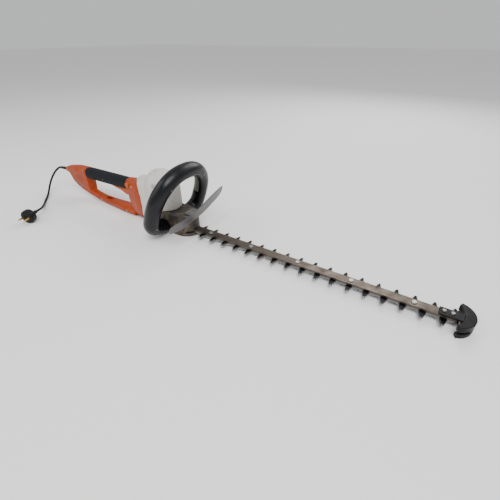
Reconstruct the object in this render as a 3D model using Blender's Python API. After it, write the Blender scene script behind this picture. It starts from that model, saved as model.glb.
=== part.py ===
"""Electric hedge trimmer with a swivelling rear handle, a loop front handle and a double-sided blade.

Row frame, in metres: the origin is the centre of the gear case's sole on the ground, +X points along
the blade to its tip, +Y to the machine's left and +Z up.
"""

import math

import bmesh
import bpy
import numpy as np
from mathutils import Matrix, Vector

MM = 0.001

# ---------------------------------------------------------------- driving dimensions
GAP = 0.3 * MM                      # between pieces that touch
RUNNING_GAP = 0.4 * MM              # between pieces that move past each other

TOOTH_PITCH = 36.0 * MM             # from one tooth to the next on one side
TEETH_LEFT = 18
FIRST_TOOTH_X = 60.0 * MM
TOOTH_TIP_Y = 31.2 * MM             # half the width over the tooth tips
TOOTH_ROOT_HALF = 7.5 * MM
TOOTH_TIP_HALF = 2.9 * MM
BAR_HALF_WIDTH = 11.0 * MM
BLADE_THICKNESS = 1.9 * MM
BLADE_PLANE_Z = 12.0 * MM           # height of the shearing plane above the ground
RAIL_THICKNESS = 4.5 * MM
BLADE_BOLTS = 5
BLADE_BOLT_RADIUS = 2.9 * MM
TIP_GUARD_REACH = 26.0 * MM         # from the last tooth's centre to the guard's front
TIP_GUARD_HALF_WIDTH = 38.0 * MM

ECCENTRICITY = TOOTH_PITCH / 4.0    # each blade strokes half a pitch
ECCENTRIC_RADIUS = 12.0 * MM
ECCENTRIC_SHAFT_RADIUS = 2.8 * MM
YOKE_WALL = 4.0 * MM
GEAR_AXIS_X = -10.0 * MM
GEAR_TEETH = 50
PINION_TEETH = 11
GEAR_MODULE = 1.2 * MM
GEAR_WIDTH = 8.0 * MM

CASE_WALL = 3.0 * MM
CASE_HALF_WIDTH = 35.0 * MM
CASE_REAR_X = -60.0 * MM
CASE_NOSE_X = 50.0 * MM
CASE_NOSE_LENGTH = 42.0 * MM
CASE_TOP_Z = 62.0 * MM
SOLE_THICKNESS = 8.5 * MM

MOTOR_STATOR_RADIUS = 29.0 * MM
MOTOR_ROTOR_RADIUS = 18.0 * MM
MOTOR_STACK_Z = 76.0 * MM
MOTOR_STACK_HEIGHT = 38.0 * MM
MOTOR_SHAFT_RADIUS = 4.0 * MM

SHELL_WALL = 3.0 * MM
DOME_BEHIND_MOTOR = 15.4 * MM       # the cover's centre behind the motor's axis
DOME_HALF_LENGTH = 50.0 * MM
DOME_HALF_WIDTH = 45.0 * MM
DOME_SHOULDER_Z = 112.0 * MM
DOME_TOP_Z = 164.0 * MM

SWIVEL_Z = 68.0 * MM
SWIVEL_FRONT_X = -112.0 * MM
SWIVEL_BALL_RADIUS = 80.0 * MM
NECK_RADIUS = 14.0 * MM
NECK_BORE = 9.0 * MM
COLLAR_HALF_HEIGHT = 63.0 * MM
COLLAR_HALF_WIDTH = 35.0 * MM

HANDLE_REAR_X = -512.0 * MM
GRIP_REAR_X = -388.0 * MM
GRIP_FRONT_X = -197.0 * MM
GRIP_HALF_HEIGHT = 17.5 * MM
GRIP_HALF_WIDTH = 17.0 * MM
SLEEVE_THICKNESS = 3.0 * MM
TRIGGER_HALF_WIDTH = 6.5 * MM
TRIGGER_PIVOT_X = -305.0 * MM
TRIGGER_PIVOT_Z = 88.0 * MM
TRIGGER_TRAVEL_DEG = 7.0
LOCK_BUTTON_RADIUS = 8.0 * MM

LOOP_LEAN_DEG = 22.5
LOOP_BASE_X = -40.0 * MM            # where the loop's plane crosses the shearing plane
LOOP_HALF_WIDTH = 93.0 * MM
LOOP_HEIGHT = 177.0 * MM            # centreline apex, along the loop's plane
LOOP_SHOULDER = 60.0 * MM
LOOP_FOOT = 10.0 * MM
LOOP_HALF_THICKNESS = 18.0 * MM
LOOP_HALF_DEPTH = 21.0 * MM
SWITCH_BAR_HALF_WIDTH = 6.0 * MM
SWITCH_BAR_DEPTH = 8.0 * MM

GUARD_THICKNESS = 2.6 * MM
GUARD_AHEAD_OF_LOOP = 76.0 * MM     # between the planes of the loop and the guard, along X

CORD_RADIUS = 3.3 * MM
PLUG_RADIUS = 19.5 * MM

# ---------------------------------------------------------------- derived dimensions
LOWER_BLADE_Z = (BLADE_PLANE_Z - GAP / 2 - BLADE_THICKNESS, BLADE_PLANE_Z - GAP / 2)
UPPER_BLADE_Z = (BLADE_PLANE_Z + GAP / 2, BLADE_PLANE_Z + GAP / 2 + BLADE_THICKNESS)
RAIL_Z = (UPPER_BLADE_Z[1] + GAP, UPPER_BLADE_Z[1] + GAP + RAIL_THICKNESS)
STROKE = 2 * ECCENTRICITY
LAST_TOOTH_X = FIRST_TOOTH_X + (TEETH_LEFT - 1) * TOOTH_PITCH
BLADE_END_X = LAST_TOOTH_X + TOOTH_ROOT_HALF
TIP_X = LAST_TOOTH_X + TIP_GUARD_REACH + TOOTH_ROOT_HALF
RAIL_END_X = LAST_TOOTH_X + 0.5 * TOOTH_ROOT_HALF
CRANK_SLACK = 0.22 * ECCENTRICITY + GAP     # a linear coupling leads the true crank by up to this
YOKE_HALF_SLOT_X = ECCENTRIC_RADIUS + CRANK_SLACK
YOKE_HALF_SLOT_Y = ECCENTRIC_RADIUS + ECCENTRICITY + RUNNING_GAP
YOKE_HALF_X = YOKE_HALF_SLOT_X + YOKE_WALL
YOKE_HALF_Y = YOKE_HALF_SLOT_Y + YOKE_WALL
GEAR_RADIUS = GEAR_MODULE * GEAR_TEETH / 2
PINION_RADIUS = GEAR_MODULE * PINION_TEETH / 2
MOTOR_AXIS_X = GEAR_AXIS_X - GEAR_RADIUS - PINION_RADIUS
DOME_X = MOTOR_AXIS_X - DOME_BEHIND_MOTOR
GEAR_Z = UPPER_BLADE_Z[1] + 10 * MM
CASE_JOINT_Z = SOLE_THICKNESS + GAP
CASE_CEILING_Z = CASE_TOP_Z - 2 * CASE_WALL
NOSE_CENTRE_X = CASE_NOSE_X - CASE_NOSE_LENGTH
LOOP_LEAN = math.radians(LOOP_LEAN_DEG)
BALL_CENTRE = Vector((SWIVEL_FRONT_X - SWIVEL_BALL_RADIUS, 0.0, SWIVEL_Z))
HANDLE_WALL_AT_BALL = 2 * SHELL_WALL

ORANGE = ("orange_plastic", (0.58, 0.10, 0.016), 0.45, 0.0)
TRIGGER_ORANGE = ("trigger_orange", (0.70, 0.15, 0.012), 0.4, 0.0)
GRIP_BLACK = ("grip_rubber", (0.022, 0.026, 0.032), 0.6, 0.0)
LOOP_BLACK = ("loop_black", (0.010, 0.012, 0.018), 0.32, 0.0)
HOUSING_WHITE = ("housing_white", (0.62, 0.60, 0.57), 0.45, 0.0)
CAST_METAL = ("gear_case_metal", (0.070, 0.058, 0.047), 0.5, 0.8)
RAIL_STEEL = ("rail_steel", (0.25, 0.21, 0.18), 0.4, 1.0)
BLADE_STEEL = ("blade_steel", (0.020, 0.020, 0.022), 0.35, 1.0)
GUARD_SMOKE = ("guard_plastic", (0.26, 0.20, 0.19), 0.25, 0.0)
BLACK_PLASTIC = ("black_plastic", (0.012, 0.012, 0.013), 0.5, 0.0)
CORD_RUBBER = ("cord_rubber", (0.012, 0.012, 0.012), 0.55, 0.0)
BRIGHT_STEEL = ("bright_steel", (0.55, 0.55, 0.54), 0.3, 1.0)
COPPER = ("copper", (0.65, 0.27, 0.12), 0.35, 1.0)
BRASS = ("brass", (0.70, 0.50, 0.20), 0.3, 1.0)
SWITCH_GREY = ("switch_bar_grey", (0.105, 0.115, 0.095), 0.5, 0.0)


# ---------------------------------------------------------------- modelling helpers
def clear_scene():
    """Remove every object of the open file."""
    for existing in list(bpy.data.objects):
        bpy.data.objects.remove(existing, do_unlink=True)


def finish_material(finish):
    """Return the Principled material for one (name, colour, roughness, metallic) finish."""
    name, colour, roughness, metallic = finish
    material = bpy.data.materials.get(name)
    if material is None:
        material = bpy.data.materials.new(name)
        material.use_nodes = True
        shader = material.node_tree.nodes["Principled BSDF"]
        shader.inputs["Base Color"].default_value = (*colour, 1.0)
        shader.inputs["Roughness"].default_value = roughness
        shader.inputs["Metallic"].default_value = metallic
    return material


def to_object(name, bm, finish=None):
    """Turn a bmesh into a named object with one material; without a finish it is a hidden cutter."""
    bmesh.ops.recalc_face_normals(bm, faces=bm.faces)
    mesh = bpy.data.meshes.new(name)
    bm.to_mesh(mesh)
    bm.free()
    made = bpy.data.objects.new(name, mesh)
    bpy.context.collection.objects.link(made)
    if finish is None:
        made.hide_render = True
        made.display_type = "WIRE"
    else:
        mesh.materials.append(finish_material(finish))
    return made


def skin(name, rings, finish=None, loop=False):
    """Join equal rings of points into one closed body, capped at both ends or joined into a loop."""
    bm = bmesh.new()
    rows = [[bm.verts.new(point) for point in ring] for ring in rings]
    count = len(rows[0])
    last = len(rows) if loop else len(rows) - 1
    for index in range(last):
        low = rows[index]
        high = rows[(index + 1) % len(rows)]
        for side in range(count):
            after = (side + 1) % count
            bm.faces.new((low[side], low[after], high[after], high[side]))
    if not loop:
        bm.faces.new(rows[0])
        bm.faces.new(rows[-1])
    return to_object(name, bm, finish)


def prism(name, outline, low, high, finish=None, axis="Z"):
    """Extrude a flat outline between two heights along an axis: XY along Z, or XZ along Y."""
    if axis == "Z":
        rings = [[(u, v, height) for u, v in outline] for height in (low, high)]
    else:
        rings = [[(u, height, v) for u, v in outline] for height in (low, high)]
    return skin(name, rings, finish)


def box(name, low, high, finish=None):
    """Make a box between two corners."""
    outline = [(low[0], low[1]), (high[0], low[1]), (high[0], high[1]), (low[0], high[1])]
    return prism(name, outline, low[2], high[2], finish)


def ellipse(centre, half_u, half_v, sides=32, power=2.0):
    """Return the points of an ellipse, or of a squarer superellipse when the power is above 2."""
    points = []
    for index in range(sides):
        angle = 2 * math.pi * (index + 0.5) / sides
        cosine = math.cos(angle)
        sine = math.sin(angle)
        across = math.copysign(abs(cosine) ** (2 / power), cosine)
        along = math.copysign(abs(sine) ** (2 / power), sine)
        points.append((centre[0] + half_u * across, centre[1] + half_v * along))
    return points


def slot_outline(start_x, end_x, radius, sides=4):
    """Return a stadium outline along X on the centreline, between two end centres."""
    points = []
    for centre, turn in ((end_x, -math.pi / 2), (start_x, math.pi / 2)):
        for index in range(sides + 1):
            angle = turn + math.pi * index / sides
            points.append((centre + radius * math.cos(angle), radius * math.sin(angle)))
    return points


def turned(name, profile, origin, axis, finish=None, sides=28, hollow=False):
    """Turn a profile of (radius, distance) about an axis through the origin point."""
    direction = Vector(axis).normalized()
    across = direction.orthogonal().normalized()
    upward = direction.cross(across)
    rings = []
    for radius, distance in profile:
        centre = Vector(origin) + direction * distance
        ring = []
        for index in range(sides):
            angle = 2 * math.pi * index / sides
            ring.append(centre + across * radius * math.cos(angle) + upward * radius * math.sin(angle))
        rings.append(ring)
    return skin(name, rings, finish, loop=hollow)


def rod(name, radius, start, end, finish=None, sides=16):
    """Make a cylinder between two points."""
    length = (Vector(end) - Vector(start)).length
    axis = Vector(end) - Vector(start)
    return turned(name, [(radius, 0.0), (radius, length)], start, axis, finish, sides)


def ball(name, centre, radius, sides=36):
    """Make a sphere to cut with."""
    bm = bmesh.new()
    place = Matrix.Translation(centre) @ Matrix.Rotation(math.pi / 2, 4, "Y")
    bmesh.ops.create_uvsphere(bm, u_segments=sides, v_segments=sides // 2, radius=radius, matrix=place)
    return to_object(name, bm)


def combine(target, other, operation="DIFFERENCE"):
    """Add an exact Boolean modifier to the target."""
    modifier = target.modifiers.new(f"{operation.lower()}_{other.name}", "BOOLEAN")
    modifier.operation = operation
    modifier.solver = "EXACT"
    modifier.object = other


def set_origin(target, point):
    """Move an object's origin onto its joint's axis without moving its shape."""
    target.data.transform(Matrix.Translation(-Vector(point)))
    target.location = point


def smooth_rows(rows, count):
    """Read a smooth curve through a few rows of numbers at evenly spaced steps."""
    rows = np.asarray(rows, dtype=float)
    padded = np.vstack([2 * rows[0] - rows[1], rows, 2 * rows[-1] - rows[-2]])
    samples = []
    for step in np.linspace(0.0, len(rows) - 1.0, count):
        index = min(int(step), len(rows) - 2)
        share = step - index
        before, start, end, after = padded[index:index + 4]
        samples.append(0.5 * (2 * start + (end - before) * share
                              + (2 * before - 5 * start + 4 * end - after) * share ** 2
                              + (3 * start - before - 3 * end + after) * share ** 3))
    return np.array(samples)


def upright_loft(name, rows, finish=None, sides=20, power=2.6, shrink=0.0):
    """Loft upright sections along X from rows of (x, bottom, top, half width)."""
    rings = []
    for x, bottom, top, half_width in rows:
        outline = ellipse((0.0, (bottom + top) / 2), half_width - shrink, (top - bottom) / 2 - shrink, sides, power)
        rings.append([(x, across, height) for across, height in outline])
    return skin(name, rings, finish)


def bent_bar(name, rows, finish=None, sides=16, power=2.6, shrink=0.0):
    """Sweep a section along a path in the XZ plane from rows of (x, z, half height, half width)."""
    rows = np.asarray(rows)
    tangents = np.gradient(rows[:, :2], axis=0)
    rings = []
    for (x, z, half_height, half_width), (run, rise) in zip(rows, tangents):
        length = math.hypot(run, rise)
        normal = (-rise / length, run / length)
        ring = []
        for across, offset in ellipse((0.0, 0.0), half_width - shrink, half_height - shrink, sides, power):
            ring.append((x + normal[0] * offset, across, z + normal[1] * offset))
        rings.append(ring)
    return skin(name, rings, finish)


# ---------------------------------------------------------------- blades, rail and tip guard
def tooth_profile(centre, side):
    """Return one tapered, round-tipped tooth's outline in order of X, on the side +1 or -1."""
    half_shape = [(TOOTH_ROOT_HALF, BAR_HALF_WIDTH), (TOOTH_TIP_HALF, TOOTH_TIP_Y - 1.8 * MM)]
    shape = [(-along, across) for along, across in half_shape] + [(0.0, TOOTH_TIP_Y)]
    shape += [(along, across) for along, across in reversed(half_shape)]
    return [(centre + along, side * across) for along, across in shape]


def comb_outline(yoke_x):
    """Return a blade's outline: the yoke round its eccentric, then the bar with staggered teeth."""
    right_edge = []
    for index in range(TEETH_LEFT - 1):
        right_edge += tooth_profile(FIRST_TOOTH_X + (index + 0.5) * TOOTH_PITCH, -1)
    left_edge = []
    for index in range(TEETH_LEFT):
        left_edge += tooth_profile(FIRST_TOOTH_X + index * TOOTH_PITCH, 1)
    yoke_right = [(yoke_x - YOKE_HALF_X, -YOKE_HALF_Y), (yoke_x + YOKE_HALF_X, -YOKE_HALF_Y),
                  (yoke_x + YOKE_HALF_X, -BAR_HALF_WIDTH)]
    yoke_left = [(along, -across) for along, across in reversed(yoke_right)]
    return yoke_right + right_edge + [(BLADE_END_X, -BAR_HALF_WIDTH)] + left_edge[::-1] + yoke_left


def blade_bolt_positions():
    """Return the X of each bolt that clamps the rail over the blades."""
    first = FIRST_TOOTH_X + TOOTH_PITCH
    last = LAST_TOOTH_X - 2 * TOOTH_PITCH
    return [first + (last - first) * index / (BLADE_BOLTS - 1) for index in range(BLADE_BOLTS)]


def make_blade(name, levels, yoke_x, travel):
    """Make a blade whose bolt slots allow its travel along X."""
    blade = prism(name, comb_outline(yoke_x), levels[0], levels[1], BLADE_STEEL)
    slot = [(yoke_x - YOKE_HALF_SLOT_X, -YOKE_HALF_SLOT_Y), (yoke_x + YOKE_HALF_SLOT_X, -YOKE_HALF_SLOT_Y),
            (yoke_x + YOKE_HALF_SLOT_X, YOKE_HALF_SLOT_Y), (yoke_x - YOKE_HALF_SLOT_X, YOKE_HALF_SLOT_Y)]
    combine(blade, prism(f"cut_{name}_yoke", slot, levels[0] - MM, levels[1] + MM))
    for index, bolt_x in enumerate(blade_bolt_positions()):
        start = bolt_x - max(travel, 0.0) - RUNNING_GAP
        end = bolt_x - min(travel, 0.0) + RUNNING_GAP
        outline = slot_outline(start, end, BLADE_BOLT_RADIUS + RUNNING_GAP)
        combine(blade, prism(f"cut_{name}_slot_{index + 1}", outline, levels[0] - MM, levels[1] + MM))
    set_origin(blade, (yoke_x, 0.0, levels[0]))


def make_rail():
    """Make the guide rail over the blades, with the bolts that hold it down."""
    rail_start_x = GEAR_AXIS_X + ECCENTRICITY + YOKE_HALF_X + 6 * MM
    outline = [(rail_start_x, -BAR_HALF_WIDTH), (RAIL_END_X, -BAR_HALF_WIDTH),
               (RAIL_END_X, BAR_HALF_WIDTH), (rail_start_x, BAR_HALF_WIDTH)]
    rail = prism("guide_rail", outline, RAIL_Z[0], RAIL_Z[1], RAIL_STEEL)
    for index, bolt_x in enumerate(blade_bolt_positions()):
        low = (bolt_x, 0.0, RAIL_Z[0] - MM)
        high = (bolt_x, 0.0, RAIL_Z[1] + MM)
        combine(rail, rod(f"cut_rail_bolt_{index + 1}", BLADE_BOLT_RADIUS + GAP, low, high, sides=12))
        head = 2.0 * BLADE_BOLT_RADIUS
        nut_top = LOWER_BLADE_Z[0] - GAP
        profile = [(head, nut_top - 3 * MM), (head, nut_top), (BLADE_BOLT_RADIUS, nut_top),
                   (BLADE_BOLT_RADIUS, RAIL_Z[1] + GAP), (head, RAIL_Z[1] + GAP),
                   (0.8 * head, RAIL_Z[1] + GAP + 1.8 * MM)]
        turned(f"blade_bolt_{index + 1}", profile, (bolt_x, 0.0, 0.0), (0, 0, 1), BRIGHT_STEEL, 12)
    for index, screw_x in enumerate(tip_screw_positions()):
        low = (screw_x, 0.0, RAIL_Z[0] - MM)
        combine(rail, rod(f"cut_rail_tip_{index + 1}", 2.3 * MM, low, (screw_x, 0.0, RAIL_Z[1] + MM)))


def tip_screw_positions():
    """Return the X of the two screws that hold the tip guard to the rail."""
    return (RAIL_END_X - 9 * MM, RAIL_END_X - 24 * MM)


def make_tip_guard():
    """Make the blunt crescent that shields the tip, forked so that the blades run into it."""
    hub_x = LAST_TOOTH_X
    reach = TIP_X - hub_x
    outer = [(hub_x + reach * math.cos(angle), TIP_GUARD_HALF_WIDTH * math.sin(angle))
             for angle in np.radians(np.linspace(-78, 78, 23))]
    inner = [(hub_x + 0.42 * reach * math.cos(angle), 0.80 * TIP_GUARD_HALF_WIDTH * math.sin(angle))
             for angle in np.radians(np.linspace(76, -76, 17))]
    top_z = RAIL_Z[1] + 8 * MM
    tongue_low = RAIL_Z[1] + GAP
    guard = prism("tip_guard", outer + inner, 0.0, top_z, BLACK_PLASTIC)
    tongue_rear = tip_screw_positions()[1] - 8 * MM
    combine(guard, box("add_tip_tongue", (tongue_rear, -BAR_HALF_WIDTH, tongue_low),
                       (hub_x + 0.8 * reach, BAR_HALF_WIDTH, tongue_low + 4 * MM)), "UNION")
    blade_low = LOWER_BLADE_Z[0] - RUNNING_GAP
    pocket_x = BLADE_END_X + STROKE + 2 * RUNNING_GAP
    combine(guard, box("cut_tip_blades", (hub_x - reach, -2 * TIP_GUARD_HALF_WIDTH, blade_low),
                       (pocket_x, 2 * TIP_GUARD_HALF_WIDTH, UPPER_BLADE_Z[1] + RUNNING_GAP)))
    combine(guard, box("cut_tip_rail", (hub_x - reach, -BAR_HALF_WIDTH - GAP, UPPER_BLADE_Z[1]),
                       (RAIL_END_X + GAP, BAR_HALF_WIDTH + GAP, RAIL_Z[1] + GAP / 2)))
    for index, screw_x in enumerate(tip_screw_positions()):
        low = (screw_x, 0.0, tongue_low - MM)
        high = (screw_x, 0.0, top_z + MM)
        combine(guard, rod(f"cut_tip_screw_{index + 1}", 2.3 * MM, low, high))
        head_z = tongue_low + 4 * MM + GAP
        profile = [(2.0 * MM, RAIL_Z[0] + GAP), (2.0 * MM, head_z), (4.2 * MM, head_z), (3.4 * MM, head_z + 2 * MM)]
        turned(f"tip_screw_{index + 1}", profile, (screw_x, 0.0, 0.0), (0, 0, 1), BRIGHT_STEEL, 12)


# ---------------------------------------------------------------- gear case and drive
def case_outline(inset=0.0):
    """Return the gear case's plan: straight sides, a rounded nose and small rear corners."""
    rear = CASE_REAR_X + inset
    half = CASE_HALF_WIDTH - inset
    length = CASE_NOSE_LENGTH - inset
    corner = 8 * MM - inset / 2
    nose = [(NOSE_CENTRE_X + length * math.cos(angle), half * math.sin(angle))
            for angle in np.radians(np.linspace(-90, 90, 17))]
    back = []
    for centre_y, start in ((half - corner, 90), (corner - half, 180)):
        back += [(rear + corner + corner * math.cos(angle), centre_y + corner * math.sin(angle))
                 for angle in np.radians(np.linspace(start, start + 90, 4))]
    return nose + back


def case_screw_positions():
    """Return the plan positions of the four screws that close the gear case."""
    rear_x = CASE_REAR_X + 9 * MM
    front_x = NOSE_CENTRE_X + 0.46 * CASE_NOSE_LENGTH
    return [(rear_x, CASE_HALF_WIDTH - 8 * MM), (rear_x, 8 * MM - CASE_HALF_WIDTH),
            (front_x, 0.63 * CASE_HALF_WIDTH), (front_x, -0.63 * CASE_HALF_WIDTH)]


def make_gear_case():
    """Make the sole plate, the upper casting with its bearing seats, and the screws between them."""
    sole = prism("gearcase_sole", case_outline(), 0.0, SOLE_THICKNESS, CAST_METAL)
    upper = prism("gearcase_upper", case_outline(), CASE_JOINT_Z, CASE_TOP_Z, CAST_METAL)
    cavity = prism("cut_case_cavity", case_outline(CASE_WALL), CASE_JOINT_Z - MM, CASE_CEILING_Z)
    gear_boss_z = GEAR_Z + GEAR_WIDTH + 9 * MM
    bosses = (("gear", GEAR_AXIS_X, 16 * MM), ("motor", MOTOR_AXIS_X, 12 * MM))
    for label, boss_x, radius in bosses:
        low = (boss_x, 0.0, gear_boss_z)
        combine(cavity, rod(f"keep_{label}_boss", radius, low, (boss_x, 0.0, CASE_CEILING_Z + MM), sides=24))
    for index, (screw_x, screw_y) in enumerate(case_screw_positions()):
        low = (screw_x, screw_y, CASE_JOINT_Z - 2 * MM)
        high = (screw_x, screw_y, CASE_CEILING_Z + MM)
        combine(cavity, rod(f"keep_screw_boss_{index + 1}", 4.5 * MM, low, high))
    combine(upper, cavity)
    seat_top = gear_boss_z + 8 * MM + GAP
    seats = (("gear", GEAR_AXIS_X, 13 * MM, 6 * MM), ("motor", MOTOR_AXIS_X, 9 * MM, MOTOR_SHAFT_RADIUS))
    for label, seat_x, radius, shaft in seats:
        low = (seat_x, 0.0, gear_boss_z - MM)
        combine(upper, rod(f"cut_{label}_seat", radius + GAP, low, (seat_x, 0.0, seat_top), sides=24))
        ring = [(shaft + RUNNING_GAP, 0.0), (radius, 0.0), (radius, 8 * MM), (shaft + RUNNING_GAP, 8 * MM)]
        turned(f"{label}_bearing", ring, (seat_x, 0.0, gear_boss_z), (0, 0, 1), BRIGHT_STEEL, 24, hollow=True)
    shaft_top = (MOTOR_AXIS_X, 0.0, CASE_TOP_Z + MM)
    combine(upper, rod("cut_motor_shaft", MOTOR_SHAFT_RADIUS + MM, (MOTOR_AXIS_X, 0.0, seat_top - MM), shaft_top))
    slit_x = FIRST_TOOTH_X - TOOTH_ROOT_HALF - STROKE - 2.5 * MM
    far_x = CASE_NOSE_X + 10 * MM
    combine(upper, box("cut_blade_slit", (slit_x, -2 * CASE_HALF_WIDTH, CASE_JOINT_Z - 2 * MM),
                       (far_x, 2 * CASE_HALF_WIDTH, UPPER_BLADE_Z[1] + GAP)))
    combine(upper, box("cut_rail_mouth", (NOSE_CENTRE_X + CASE_NOSE_LENGTH / 2, -BAR_HALF_WIDTH - GAP, CASE_JOINT_Z),
                       (far_x, BAR_HALF_WIDTH + GAP, RAIL_Z[1] + GAP)))
    bush_low = SOLE_THICKNESS - 5 * MM
    combine(sole, rod("cut_gear_bush_seat", 6 * MM + GAP, (GEAR_AXIS_X, 0.0, bush_low),
                      (GEAR_AXIS_X, 0.0, SOLE_THICKNESS + MM), sides=24))
    bush = [(ECCENTRIC_SHAFT_RADIUS + RUNNING_GAP, 0.0), (6 * MM, 0.0), (6 * MM, 4.4 * MM),
            (ECCENTRIC_SHAFT_RADIUS + RUNNING_GAP, 4.4 * MM)]
    turned("gear_bush", bush, (GEAR_AXIS_X, 0.0, bush_low + GAP), (0, 0, 1), BRASS, 24, hollow=True)
    for index, (screw_x, screw_y) in enumerate(case_screw_positions()):
        below = (screw_x, screw_y, -MM)
        combine(sole, rod(f"cut_sole_head_{index + 1}", 4.0 * MM, below, (screw_x, screw_y, 4 * MM)))
        combine(sole, rod(f"cut_sole_shank_{index + 1}", 2.2 * MM, below, (screw_x, screw_y, SOLE_THICKNESS + MM)))
        combine(upper, rod(f"cut_case_thread_{index + 1}", 2.2 * MM, below, (screw_x, screw_y, 30 * MM)))
        profile = [(3.6 * MM, 0.8 * MM), (3.6 * MM, 4 * MM - GAP), (1.9 * MM, 4 * MM - GAP), (1.9 * MM, 28 * MM)]
        turned(f"case_screw_{index + 1}", profile, (screw_x, screw_y, 0.0), (0, 0, 1), BRIGHT_STEEL, 12)
    for side, label in ((-1, "right"), (1, "left")):
        foot_x, foot_z = loop_point(LOOP_FOOT)
        start = (foot_x, side * (CASE_HALF_WIDTH - CASE_WALL / 2), foot_z)
        spigot = rod(f"add_loop_spigot_{label}", 9 * MM, start, (foot_x, side * (CASE_HALF_WIDTH + 14 * MM), foot_z))
        combine(upper, spigot, "UNION")
    for index, (screw_x, screw_y) in enumerate(guard_screw_positions()):
        low = (screw_x, screw_y, CASE_CEILING_Z + MM)
        combine(upper, rod(f"cut_guard_thread_{index + 1}", 2.2 * MM, low, (screw_x, screw_y, CASE_TOP_Z + MM)))


def gear_outline(teeth, centre, phase):
    """Return a spur gear's outline with slim straight-sided teeth, one tooth centred on the phase."""
    radius = GEAR_MODULE * teeth / 2
    step = 2 * math.pi / teeth
    points = []
    for tooth in range(teeth):
        middle = phase + tooth * step
        for share, reach in ((-0.27, -1.05), (-0.10, 0.75), (0.10, 0.75), (0.27, -1.05)):
            distance = radius + reach * GEAR_MODULE
            angle = middle + share * step
            points.append((centre + distance * math.cos(angle), distance * math.sin(angle)))
    return points


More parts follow.
